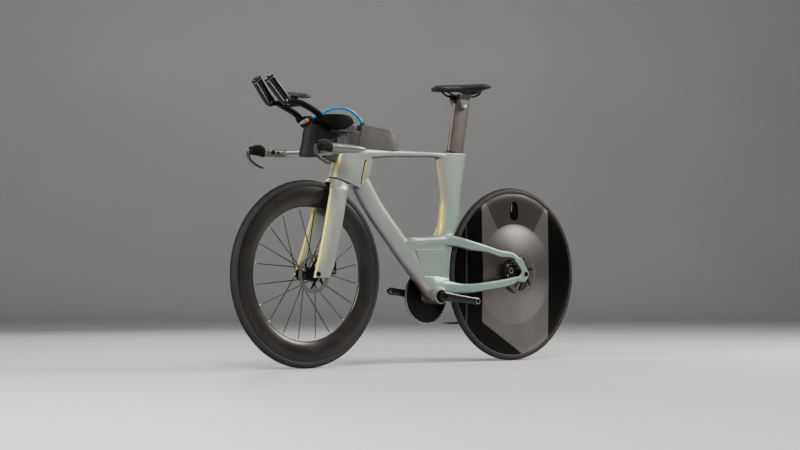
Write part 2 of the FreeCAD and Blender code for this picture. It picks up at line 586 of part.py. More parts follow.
riserL = riser()
save("riser_plates", [riserL, mirror(riserL)])

GB, GT = V(*GRIP_BASE), V(*GRIP_TOP)
GD = GT - GB
GLEN = GD.Length
GD.normalize()
GV = V(GD.z, 0, -GD.x)
GV.normalize()
GW = GD.cross(GV)


def grip_part():
    s = loft([section(tuple(GB + GD * d), tuple(GV), tuple(GW), a, b, h, 2.8, 2.8) for d, a, b, h in (
        (-8, 12, 14, 10), (6, 18, 19, 12), (40, 19, 18, 12.6), (78, 19, 18, 12.4), (GLEN - 8, 19.5, 18.5, 12), (GLEN, 17, 16, 10))])
    s = s.cut(cupL)
    s = one(s)
    return one(s.cut(Part.makeCylinder(6.3, 12, GT - GD * 7, GD)))


gl = grip_part()
save("hand_grips", [gl, mirror(gl)])
tipL = Part.makeCylinder(6.0, 7.0, GT - GD * 4.0, GD).fuse(Part.makeSphere(6.0, GT + GD * 3.0).common(Part.makeCylinder(6.0, 3.0, GT + GD * 3.0, GD)))
save("grip_button_left", one(tipL))
save("grip_button_right", mirror(one(tipL)))

bridge = fuse([box(560, 596, -52, 52, 940, 945.5), cyl(13, 28, (574, 0, 945), (0, 0, 1))]).cut(cupL).cut(mirror(cupL))
save("computer_mount", one(bridge))
dev = loft([section((561, 0, z), (1, 0, 0), (0, 1, 0), a, a, h, 6, 6, 32) for z, a, h in ((973.0, 45, 23), (975.5, 48, 25.5), (986, 48.5, 26), (989.5, 46.5, 24.5))], True)
save("bike_computer", dev)

bolts = []
for sg in (1, -1):
    for x in (347, 381):
        h = cyl(4.4, 3.0, (x, sg * 26.0, 846), (0, sg, 0)).fuse(cyl(2.5, 4.0, (x, sg * 22.0, 846), (0, sg, 0)))
        bolts.append(one(h.cut(cyl(2.0, 2.0, (x, sg * 27.2, 846), (0, sg, 0)))))
save("cockpit_bolts", bolts)

# ------------------------------------------------------------------ wheels


def ring_holes(c, y, r, n, hr, a0=0.0):
    return [cyl(hr, 12, (c[0] + r * math.cos(a0 + 2 * math.pi * i / n), y - 6, c[1] + r * math.sin(a0 + 2 * math.pi * i / n)), (0, 1, 0)) for i in range(n)]


def rotor(c, y, R):
    t = 1.8
    y0 = y - t / 2
    band = cyl(R, t, (c[0], y0, c[1]), (0, 1, 0)).cut(cyl(R - 15, t, (c[0], y0, c[1]), (0, 1, 0)))
    hub = cyl(27, t, (c[0], y0, c[1]), (0, 1, 0))
    arms = []
    for i in range(6):
        a = 2 * math.pi * i / 6
        p0, p1 = a, a + math.radians(44)
        q0 = (c[0] + 22 * math.cos(p0), c[1] + 22 * math.sin(p0))
        q1 = (c[0] + (R - 11) * math.cos(p1), c[1] + (R - 11) * math.sin(p1))
        dx, dz = q1[0] - q0[0], q1[1] - q0[1]
        k = math.hypot(dx, dz)
        nx, nz = -dz / k, dx / k
        arms.append(prism([(q0[0] + nx * 5, q0[1] + nz * 5), (q1[0] + nx * 3.4, q1[1] + nz * 3.4), (q1[0] - nx * 3.4, q1[1] - nz * 3.4), (q0[0] - nx * 5, q0[1] - nz * 5)], y0, y0 + t))
    r = fuse([band, hub] + arms)
    holes = ring_holes(c, y, R - 3.7, 36, 1.7) + ring_holes(c, y, R - 8.5, 36, 2.0, 0.087) + ring_holes(c, y, R - 13.0, 18, 1.5, 0.02)
    r = r.cut(Part.makeCompound(holes))
    r = one(r.cut(cyl(17.05, 20, (c[0], y - 10, c[1]), (0, 1, 0))))
    lock = cyl(20.5, 2.6, (c[0], y + t / 2, c[1]), (0, 1, 0)).cut(cyl(12.5, 20, (c[0], y - 5, c[1]), (0, 1, 0)))
    lock = lock.cut(Part.makeCompound(ring_holes(c, y + 2, 20.9, 16, 1.6)))
    return [r, one(lock)]


def tyre(c):
    rc = WHEEL_R - TYRE_R
    a = V(c[0] + 317, math.sqrt(TYRE_R ** 2 - (rc - 317) ** 2), c[1])
    b = V(a.x, -a.y, a.z)
    ri = 11.2
    ia = V(a.x, math.sqrt(ri ** 2 - (rc - 317) ** 2), a.z)
    ib = V(a.x, -ia.y, a.z)
    w = Part.Wire([Part.Arc(a, V(c[0] + WHEEL_R, 0, c[1]), b).toShape(), Part.LineSegment(b, ib).toShape(),
                   Part.Arc(ib, V(c[0] + rc + ri, 0, c[1]), ia).toShape(), Part.LineSegment(ia, a).toShape()])
    return Part.Face(w).revolve(V(c[0], 0, c[1]), Y, 360)


CF, CR = (XF, HUB_Z), (XR, HUB_Z)
save("front_tyre", tyre(CF))
save("rear_tyre", tyre(CR))


def spline_ring(half, c, seat_half, inner):
    """Ring from smooth side profiles of (radius, y), closed over a flat tyre seat."""
    out = Part.BSplineCurve()
    out.interpolate([V(c[0] + r, y, c[1]) for r, y in half])
    e = [out.toShape(), Part.LineSegment(V(c[0] + half[-1][0], half[-1][1], c[1]), V(c[0] + half[0][0], half[0][1], c[1])).toShape()]
    return Part.Face(Part.Wire(e)).revolve(V(c[0], 0, c[1]), Y, 360)


outer = [(RIM_SEAT, 11.6), (305, 13.6), (288, 14.2), (268, 12.2), (252, 8.2), (245, 4.6), (RIM_INNER, 0), (245, -4.6), (252, -8.2), (268, -12.2), (288, -14.2), (305, -13.6), (RIM_SEAT, -11.6)]
hollow = [(306, 10.6), (300, 11.4), (288, 11.8), (269, 9.8), (254, 6.0), (249, 2.6), (248, 0), (249, -2.6), (254, -6.0), (269, -9.8), (288, -11.8), (300, -11.4), (306, -10.6)]
rim = spline_ring(outer, CF, 11.6, RIM_INNER).cut(spline_ring(hollow, CF, 10.6, 248))
VA = math.radians(118)


def valve_stem(c, a, r0, r1):
    p = V(c[0] + r1 * math.cos(a), 0, c[1] + r1 * math.sin(a))
    d = V(-math.cos(a), 0, -math.sin(a))
    s = Part.makeCylinder(2.9, r1 - r0, p, d)
    s = s.fuse(Part.makeCylinder(3.8, 3, p + d * (r1 - r0 - 16), d)).fuse(Part.makeCylinder(2.0, 6, p + d * (r1 - r0), d))
    return one(s)


rim = rim.cut(Part.makeCylinder(3.0, 80, V(CF[0] + 238 * math.cos(VA), 0, CF[1] + 238 * math.sin(VA)), V(math.cos(VA), 0, math.sin(VA))))
save("front_rim", one(rim))
save("front_valve", valve_stem(CF, VA, 218, 316.5))

hubF = revolve([(6.07, 49.7), (10.5, 49.7), (11.5, 45), (12.4, 44), (12.4, 40.9), (17, 40.9), (17, 34), (19, 27), (25, 25.5), (25, 21), (17, 17), (14.5, 8), (14.5, -22),
                (17, -30), (24, -33), (24, -37), (19, -39), (13, -44), (10.5, -46), (10.5, -49.7), (6.07, -49.7)], CF)
save("front_hub", hubF)
save("front_rotor", rotor(CF, ROTOR_F_Y, ROTOR_F))

spokes = []
for i in range(SPOKES):
    a = 2 * math.pi * (i + 0.5) / SPOKES
    left = i % 2 == 0
    lead = (i // 2) % 2 == 0
    yh = (23.2 if left else -35.0) + (1.9 if lead else -1.9)
    rh = 22.0 if left else 21.0
    ah = a + (1 if lead else -1) * math.radians(62)
    p0 = V(CF[0] + rh * math.cos(ah), yh, CF[1] + rh * math.sin(ah))
    p1 = V(CF[0] + 245.5 * math.cos(a), 1.2 if left else -1.2, CF[1] + 245.5 * math.sin(a))
    d = p1 - p0
    L = d.Length
    d.normalize()
    w = Y.cross(d)
    w.normalize()
    n = d.cross(w)
    ws = []
    for q, hw, ht in ((p0, 1.3, 1.0), (p0 + d * 12, 1.7, 0.6), (p1 - d * 12, 1.7, 0.6), (p1, 1.4, 1.0)):
        ws.append(Part.makePolygon([q + w * hw + n * ht, q - w * hw + n * ht, q - w * hw - n * ht, q + w * hw - n * ht, q + w * hw + n * ht]))
    spokes.append(loft(ws, True))
save("front_spokes", spokes)

# lens disc: two thin skins on a rim bed, hollow between them
SKIN = 2.0
left_skin = [(24.3, 42.0), (60, 39.5), (100, 34.2), (140, 27.4), (170, 21.6), (192, 17.4), (198, 16.6), (240, 15.4), (285, 14.3), (305, 13.4), (RIM_SEAT, 11.6)]
right_skin = [(24.3, 20.6), (60, 20.6), (100, 20.4), (140, 19.4), (170, 18.2), (198, 16.6), (240, 15.4), (285, 14.3), (305, 13.4), (RIM_SEAT, 11.6)]


def smooth_disc(l, r, c):
    def arc(pts):
        b = Part.BSplineCurve()
        b.interpolate([V(c[0] + p[0], p[1], c[1]) for p in pts])
        return b.toShape()
    lp, rp = l, [(a, -b) for a, b in r][::-1]
    k = [i for i, p in enumerate(l) if p[0] == 198][0]
    e = [arc(l[:k + 1]), arc(l[k:]),
         Part.LineSegment(V(c[0] + lp[-1][0], lp[-1][1], c[1]), V(c[0] + rp[0][0], rp[0][1], c[1])).toShape(),
         arc(rp),
         Part.LineSegment(V(c[0] + rp[-1][0], rp[-1][1], c[1]), V(c[0] + lp[0][0], lp[0][1], c[1])).toShape()]
    return Part.Face(Part.Wire(e)).revolve(V(c[0], 0, c[1]), Y, 360)


li = [(34, left_skin[0][1] - SKIN - 0.4)] + [(r, y - SKIN - (0.4 if r < 190 else 0)) for r, y in left_skin[1:-2]] + [(299, 11.5)]
ri_ = [(34, right_skin[0][1] - SKIN)] + [(r, y - SKIN) for r, y in right_skin[1:-2]] + [(299, 11.5)]
disc = smooth_disc(left_skin, right_skin, CR).cut(smooth_disc(li, ri_, CR))
PORT_Z, PORT_W, PORT_H = HUB_Z + 248, 44.0, 74.0
port = box(XR - PORT_W / 2, XR + PORT_W / 2, 5, 40, PORT_Z - (PORT_H - PORT_W) / 2, PORT_Z + (PORT_H - PORT_W) / 2)
for sg in (1, -1):
    port = port.fuse(cyl(PORT_W / 2, 35, (XR, 5, PORT_Z + sg * (PORT_H - PORT_W) / 2), (0, 1, 0)))
disc = disc.cut(port)
disc = disc.cut(Part.makeCylinder(3.0, 60, V(XR, 0, HUB_Z + 280), Z))
save("rear_disc", one(disc))
save("rear_valve", valve_stem(CR, math.pi / 2, 252, 316.5))

hubR = revolve([(6.07, 70.7), (11, 70.7), (12.4, 62), (12.4, 55.9), (17, 55.9), (17, 46), (21, 44), (24.2, 42), (24.2, -20.6), (20, -23.6), (10.5, -24.0), (10.5, -70.7), (6.07, -70.7)], CR)
save("rear_hub", hubR)
save("rear_rotor", rotor(CR, ROTOR_R_Y, ROTOR_R))

# ------------------------------------------------------------------ brake calipers


def caliper(x0, x1, z0, z1, y0, y1, yr, extra):
    b = box(x0, x1, y0, y1, z0, z1)
    try:
        es = [e for e in b.Edges]
        b = b.makeFillet(4.0, es)
    except Exception as err:
        print("caliper fillet left out", err)
    b = b.fuse(extra)
    b = one(b)
    return b


fc = caliper(416, 467, 338, 396, 29.5, 48.6, ROTOR_F_Y, prism([(418, 396), (440, 396), (434, 410), (424, 410)], 34, 48))
fc = one(fc.cut(cyl(ROTOR_F + 3, 7.4, (XF, ROTOR_F_Y - 3.7, HUB_Z), (0, 1, 0))).cut(fork))
fpads = []
for s0, s1 in ((-3.4, -1.5), (1.5, 3.4)):
    fpads.append(prism([(449, 344), (466.5, 347), (466.5, 380), (458, 384), (449, 376)], ROTOR_F_Y + s0, ROTOR_F_Y + s1))
save("front_brake_caliper", [fc] + fpads)

rc_ = caliper(-474, -420, 326, 378, 43.5, 66.0, ROTOR_R_Y, prism([(-470, 327), (-432, 327), (-432, 318), (-466, 324)], 50, 64))
rc_ = one(rc_.cut(cyl(ROTOR_R + 3, 7.4, (XR, ROTOR_R_Y - 3.7, HUB_Z), (0, 1, 0))).cut(frame))
rpads = []
for s0, s1 in ((-3.4, -1.5), (1.5, 3.4)):
    rpads.append(prism([(-438, 345), (-453, 341), (-455, 374), (-441, 366)], ROTOR_R_Y + s0, ROTOR_R_Y + s1))
save("rear_brake_caliper", [rc_] + rpads)

# ------------------------------------------------------------------ drivetrain


def pitch_r(n):
    return PITCH / (2 * math.sin(math.pi / n))


def sprocket(n, c, y0, y1, phase, hole, tip=2.9):
    """Toothed disc with round roller seats at phase + k turns/n."""
    R, sr = pitch_r(n), 4.05
    e = []
    ends = []
    for i in range(n):
        a = phase + 2 * math.pi * i / n
        u = (math.cos(a), math.sin(a))
        t = (-u[1], u[0])
        pc = (c[0] + R * u[0], c[1] + R * u[1])

        def pt(k):
            return V(pc[0] - sr * math.cos(k) * u[0] + sr * math.sin(k) * t[0], y0, pc[1] - sr * math.cos(k) * u[1] + sr * math.sin(k) * t[1])
        k = math.radians(72)
        ends.append((pt(-k), pt(0), pt(k)))
    for i in range(n):
        p, q, r = ends[i]
        e.append(Part.Arc(p, q, r).toShape())
        a = phase + 2 * math.pi * (i + 0.5) / n
        rt = R + tip
        da = 0.7 / rt
        t0 = V(c[0] + rt * math.cos(a - da), y0, c[1] + rt * math.sin(a - da))
        t1 = V(c[0] + rt * math.cos(a + da), y0, c[1] + rt * math.sin(a + da))
        nx = ends[(i + 1) % n][0]
        e += [Part.LineSegment(r, t0).toShape(), Part.LineSegment(t0, t1).toShape(), Part.LineSegment(t1, nx).toShape()]
    f = Part.Face(Part.Wire(e))
    s = f.extrude(V(0, y1 - y0, 0))
    if s.Volume < 0:
        s.reverse()
    return s.cut(cyl(hole, y1 - y0 + 4, (c[0], y0 - 2, c[1]), (0, 1, 0)))


GUIDE = (-505.0, 241.5)
CAGE_L = 74.0


def belt(gamma):
    """Chain line round the ring, the pulleys and the cog: list of straight and arc stretches in pitches."""
    ten = (GUIDE[0] + CAGE_L * math.cos(gamma), GUIDE[1] + CAGE_L * math.sin(gamma))
    circ = [((BB_X, BB_Z), RING_T, -1), (ten, PULLEY_T, -1), (GUIDE, PULLEY_T, 1), (CR, COG_T, -1)]
    n = len(circ)
    tang = []
    for i in range(n):
        (c1, n1, s1), (c2, n2, s2) = circ[i], circ[(i + 1) % n]
        r1, r2 = pitch_r(n1), pitch_r(n2)
        d = (c2[0] - c1[0], c2[1] - c1[1])
        D = math.hypot(*d)
        k = s2 * r2 - s1 * r1
        L = math.sqrt(D * D - k * k)
        an = math.atan2(d[1], d[0]) - math.atan2(k, L)
        u = (math.cos(an), math.sin(an))
        nn = (-u[1], u[0])
        tang.append(((c1[0] - s1 * r1 * nn[0], c1[1] - s1 * r1 * nn[1]), (c2[0] - s2 * r2 * nn[0], c2[1] - s2 * r2 * nn[1]), L))
    segs = []
    for i in range(n):
        p, q, L = tang[i]
        segs.append(("line", p, q, L / PITCH))
        c, N, sg = circ[(i + 1) % n]
        a0 = math.atan2(q[1] - c[1], q[0] - c[0])
        nx = tang[(i + 1) % n][0]
        a1 = math.atan2(nx[1] - c[1], nx[0] - c[0])
        sweep = (a1 - a0) % (2 * math.pi) if sg > 0 else -((a0 - a1) % (2 * math.pi))
        segs.append(("arc", c, pitch_r(N), a0, sweep, abs(sweep) * N / (2 * math.pi), N))
    return ten, segs


def total(segs):
    return sum(s[3] if s[0] == "line" else s[5] for s in segs)


g0 = math.radians(-62)
want = 2 * round(total(belt(g0)[1]) / 2.0)
lo, hi = math.radians(-100), math.radians(-25)
flo = total(belt(lo)[1]) - want
for _ in range(60):
    mid = (lo + hi) / 2
    fm = total(belt(mid)[1]) - want
    if (fm > 0) == (flo > 0):
        lo, flo = mid, fm
    else:
        hi = mid
GAMMA = (lo + hi) / 2
TENSION, SEGS = belt(GAMMA)
print("chain links", want, "cage angle %.2f" % math.degrees(GAMMA), "tension pulley", TENSION, "total %.4f" % total(SEGS))

rollers, phases, acc, k = [], {}, 0.0, 0
for s in SEGS:
    ln = s[3] if s[0] == "line" else s[5]
    while k < acc + ln - 1e-9 and k < want:
        f = (k - acc) / ln
        if s[0] == "line":
            rollers.append((s[1][0] + (s[2][0] - s[1][0]) * f, s[1][1] + (s[2][1] - s[1][1]) * f))
        else:
            a = s[3] + s[4] * f
            rollers.append((s[1][0] + s[2] * math.cos(a), s[1][1] + s[2] * math.sin(a)))
            phases.setdefault((round(s[1][0], 3), round(s[1][1], 3)), a)
        k += 1
    acc += ln


def phase_of(c):
    return phases[(round(c[0], 3), round(c[1], 3))]


def plate(y0, y1, h=4.1):
    w = [(-PITCH / 2, h), (PITCH / 2, h)]
    p = box(-PITCH / 2, PITCH / 2, y0, y1, -h + 0.7, h - 0.7)
    for sg in (1, -1):
        p = p.fuse(cyl(h, y1 - y0, (sg * PITCH / 2, y0, 0), (0, 1, 0)))
    return p


def link_shape(outer_link):
    items = []
    if outer_link:
        items = [plate(1.9, 2.65), plate(-2.65, -1.9)]
        for sg in (1, -1):
            items.append(cyl(1.6, 5.3, (sg * PITCH / 2, -2.65, 0), (0, 1, 0)))
        return fuse(items)
    items = [plate(1.1, 1.85), plate(-1.85, -1.1)]
    for sg in (1, -1):
        items.append(cyl(3.8, 2.6, (sg * PITCH / 2, -1.3, 0), (0, 1, 0)))
    s = fuse(items)
    for sg in (1, -1):
        s = s.cut(cyl(2.1, 10, (sg * PITCH / 2, -5, 0), (0, 1, 0)))
    return one(s)


L_OUT, L_IN = link_shape(True), link_shape(False)
links = []
for i in range(want):
    a, b = rollers[i], rollers[(i + 1) % want]
    q = (L_OUT if i % 2 else L_IN).copy()
    ang = math.degrees(math.atan2(b[1] - a[1], b[0] - a[0]))
    q.Placement = FreeCAD.Placement(V((a[0] + b[0]) / 2, CHAIN_Y, (a[1] + b[1]) / 2), FreeCAD.Rotation(Y, -ang))
    links.append(q)
save("chain", links)

teeth = sprocket(RING_T, (BB_X, BB_Z), CHAIN_Y - 0.85, CHAIN_Y + 0.85, phase_of((BB_X, BB_Z)), 92)
dish = cyl(97, 3.4, (BB_X, CHAIN_Y - 1.7, BB_Z), (0, 1, 0)).cut(cyl(27, 10, (BB_X, CHAIN_Y - 5, BB_Z), (0, 1, 0)))
ringm = one(teeth.fuse(dish))
RB = []
for i in range(8):
    a = 2 * math.pi * i / 8 + 0.2
    p = (BB_X + 39 * math.cos(a), BB_Z + 39 * math.sin(a))
    ringm = ringm.cut(cyl(2.5, 20, (p[0], CHAIN_Y - 10, p[1]), (0, 1, 0)))
    RB.append(fuse([cyl(2.48, 3.4, (p[0], CHAIN_Y - 1.7, p[1]), (0, 1, 0)), cyl(4.2, 2.2, (p[0], CHAIN_Y + 1.7, p[1]), (0, 1, 0))]))
save("chainring", [one(ringm)] + RB)

cogs = []
for i, n in enumerate(COGS):
    y = CHAIN_Y - (6 - i) * COG_STEP
    ph = phase_of(CR) if n == COG_T else 0.1 * i
    cogs.append(sprocket(n, CR, y - 0.8, y + 0.8, ph, 17.0))
    if i < len(COGS) - 1:
        cogs.append(cyl(20.2, COG_STEP - 1.6, (XR, y + 0.8, HUB_Z), (0, 1, 0)).cut(cyl(17.0, 10, (XR, y - 2, HUB_Z), (0, 1, 0))))
y_small, y_big = CHAIN_Y - 6 * COG_STEP, CHAIN_Y + 5 * COG_STEP
cogs.append(cyl(16.95, y_big + 1.8 - (y_small - 0.8), (XR, y_small - 0.8, HUB_Z), (0, 1, 0)).cut(cyl(10.56, 60, (XR, y_small - 5, HUB_Z), (0, 1, 0))))
cogs.append(cyl(18.6, 1.6, (XR, y_small - 2.4, HUB_Z), (0, 1, 0)).cut(cyl(12.5, 10, (XR, y_small - 6, HUB_Z), (0, 1, 0))))
save("cassette", cogs)


def crank_arm(sign, boss):
    a = math.radians(CRANK_DIR if sign > 0 else CRANK_DIR - 180)
    u, n = V(math.cos(a), 0, math.sin(a)), V(-math.sin(a), 0, math.cos(a))
    ws = []
    for d, h, y0, y1 in ((-20, 6, 51, 63), (-14, 14, 49.5, 65), (4, 18.5, 49, 67), (36, 16.5, 54, 69), (90, 14.5, 59, 73), (140, 14, 62, 76.5), (163, 13.5, 62.5, 77), (175, 7, 64.5, 75)):
        c = V(BB_X, 0, BB_Z) + u * d + Y * (sign * (y0 + y1) / 2.0)
        ws.append(section(tuple(c), tuple(n), (0, sign, 0), h, h, (y1 - y0) / 2.0, 2.8, 2.8))
    s = loft(ws)
    if boss is not None:
        s = one(s.fuse(boss))
    e = V(BB_X, 0, BB_Z) + u * CRANK_L
    s = s.cut(cyl(PEDAL_R, 40, (e.x, 55 if sign > 0 else -95, e.z), (0, 1, 0)))
    s = s.cut(cyl(12.02, 145, (BB_X, -72.5, BB_Z), (0, 1, 0)))
    # flat seats round the pedal thread
    for y0 in (76.2, 40.0):
        yy = y0 if sign > 0 else -y0 - 22.5
        s = s.cut(cyl(11.5, 22.5, (e.x, yy, e.z), (0, 1, 0)))
    print("pedal eye", sign, round(e.x, 3), round(e.z, 3))
    return one(s)


save("left_crank", crank_arm(1, None))
spider = cyl(46, 4.0, (BB_X, CHAIN_Y - 1.7 - 4.0, BB_Z), (0, 1, 0))
save("right_crank", crank_arm(-1, spider))
spin = cyl(12.0, 130, (BB_X, -65, BB_Z), (0, 1, 0)).cut(cyl(9, 140, (BB_X, -70, BB_Z), (0, 1, 0)))
spin = fuse([spin, cyl(11.98, 3, (BB_X, 65, BB_Z), (0, 1, 0)).cut(cyl(5, 10, (BB_X, 60, BB_Z), (0, 1, 0)))])
save("crank_spindle", spin)

# derailleur: frame knuckle, swinging link, lower knuckle, spring cage, two pulleys
G_AX = V(0.8, 0, 0.6)
L_AX = V(0.6, 0, -0.8)
PB = V(-540, -88, 294)
PSI = math.radians(20)
E1 = L_AX * math.cos(PSI) + Y * math.sin(PSI)
PP = PB + E1 * 40


def gcyl(r, p, a, b):
    return Part.makeCylinder(r, b - a, p + G_AX * a, G_AX)


bk = fuse([cyl(9.0, 12, (-521, -93.3, 311), (0, 1, 0)), cyl(4.9, 12, (-521, -82, 311), (0, 1, 0)), gcyl(6, PB, 6.3, 24), gcyl(2.5, PB, -6, 8)])
save("derailleur_b_knuckle", bk)
side = G_AX.cross(E1)
bar_l = Part.Face(Part.makePolygon([PB + side * 5 + G_AX * -6, PB - side * 5 + G_AX * -6, PB - side * 5 + G_AX * 6, PB + side * 5 + G_AX * 6, PB + side * 5 + G_AX * -6])).extrude(E1 * 40)
link = fuse([bar_l, gcyl(6, PB, -6, 6), gcyl(6, PP, -6, 6)]).cut(gcyl(2.56, PB, -20, 20)).cut(gcyl(2.56, PP, -20, 20))
save("derailleur_link", one(link))
pk = fuse([gcyl(6, PP, 6.3, 22), gcyl(2.5, PP, -6, 8), box(-506, -495, -78, -64, 241.5, 278), cyl(11, 25, (GUIDE[0], -78, GUIDE[1]), (0, 1, 0))])
pk = pk.cut(cyl(7.06, 18, (GUIDE[0], -71, GUIDE[1]), (0, 1, 0)))
save("derailleur_knuckle", one(pk))


def cage_plate(y0, y1, hw):
    d = V(TENSION[0] - GUIDE[0], 0, TENSION[1] - GUIDE[1])
    d.normalize()
    n = V(-d.z, 0, d.x)
    a, b = V(GUIDE[0], 0, GUIDE[1]), V(TENSION[0], 0, TENSION[1])
    pts = [a + n * hw, b + n * hw * 0.8, b - n * hw * 0.8, a - n * hw]
    p = prism([(q.x, q.z) for q in pts], y0, y1)
    return fuse([p, cyl(hw, y1 - y0, (a.x, y0, a.z), (0, 1, 0)), cyl(hw * 0.8, y1 - y0, (b.x, y0, b.z), (0, 1, 0))])


cage = fuse([cage_plate(-52.4, -50.4, 12), cage_plate(-39.6, -38.0, 11)] + [cyl(3.0, 14, (c[0], -52, c[1]), (0, 1, 0)) for c in (GUIDE, TENSION)] +
            [cyl(7.0, 16, (GUIDE[0], -68.0, GUIDE[1]), (0, 1, 0))])
save("derailleur_cage", cage)
for nm, c in (("guide_pulley", GUIDE), ("tension_pulley", TENSION)):
    p = sprocket(PULLEY_T, c, CHAIN_Y - 0.9, CHAIN_Y + 0.9, phase_of(c), 3.06)
    p = p.fuse(cyl(9, 7.6, (c[0], CHAIN_Y - 3.8, c[1]), (0, 1, 0)).cut(cyl(3.06, 20, (c[0], CHAIN_Y - 10, c[1]), (0, 1, 0))))
    save(nm, one(p))
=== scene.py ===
import json
import math

import bpy
import numpy as np
from mathutils import Matrix, Quaternion, Vector
from mathutils.bvhtree import BVHTree

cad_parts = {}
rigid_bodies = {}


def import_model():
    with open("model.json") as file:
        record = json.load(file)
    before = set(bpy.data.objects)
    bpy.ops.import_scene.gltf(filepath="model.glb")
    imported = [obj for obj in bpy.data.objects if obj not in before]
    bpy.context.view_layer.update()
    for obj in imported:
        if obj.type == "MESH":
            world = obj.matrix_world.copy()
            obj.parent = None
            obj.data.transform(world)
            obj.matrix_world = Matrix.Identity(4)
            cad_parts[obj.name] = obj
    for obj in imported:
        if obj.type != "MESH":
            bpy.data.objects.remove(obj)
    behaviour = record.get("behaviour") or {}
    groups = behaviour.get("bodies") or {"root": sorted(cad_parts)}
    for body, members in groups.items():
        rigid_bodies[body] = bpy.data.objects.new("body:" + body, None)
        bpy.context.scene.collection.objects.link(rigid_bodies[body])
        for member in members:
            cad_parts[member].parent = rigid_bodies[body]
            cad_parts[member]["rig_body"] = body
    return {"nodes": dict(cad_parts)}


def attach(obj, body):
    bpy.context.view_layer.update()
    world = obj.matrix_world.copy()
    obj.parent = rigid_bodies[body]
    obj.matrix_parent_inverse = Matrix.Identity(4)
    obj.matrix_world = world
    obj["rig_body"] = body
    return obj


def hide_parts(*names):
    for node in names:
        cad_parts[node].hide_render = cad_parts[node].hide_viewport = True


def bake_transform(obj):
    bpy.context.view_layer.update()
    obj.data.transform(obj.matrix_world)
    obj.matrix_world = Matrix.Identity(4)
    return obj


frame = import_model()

nodes = frame["nodes"]
scene = bpy.context.scene
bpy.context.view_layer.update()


def P(x, y, z):
    """A point given in millimetres."""
    return Vector((x, y, z)) * 0.001


# ------------------------------------------------------------------ camera
YAW, PITCH = 0.8522, 0.0258
cam_data = bpy.data.cameras.new("camera")
cam = bpy.data.objects.new("camera", cam_data)
scene.collection.objects.link(cam)
cam.location = (4.8366, 5.4502, 0.3364)
look = Vector((-math.cos(YAW) * math.cos(PITCH), -math.sin(YAW) * math.cos(PITCH), math.sin(PITCH)))
cam.rotation_mode = "QUATERNION"
cam.rotation_quaternion = look.to_track_quat("-Z", "Y")
cam_data.sensor_fit = "HORIZONTAL"
cam_data.sensor_width = 36.0
cam_data.lens = 86.87
cam_data.clip_start, cam_data.clip_end = 0.05, 100.0
scene.camera = cam


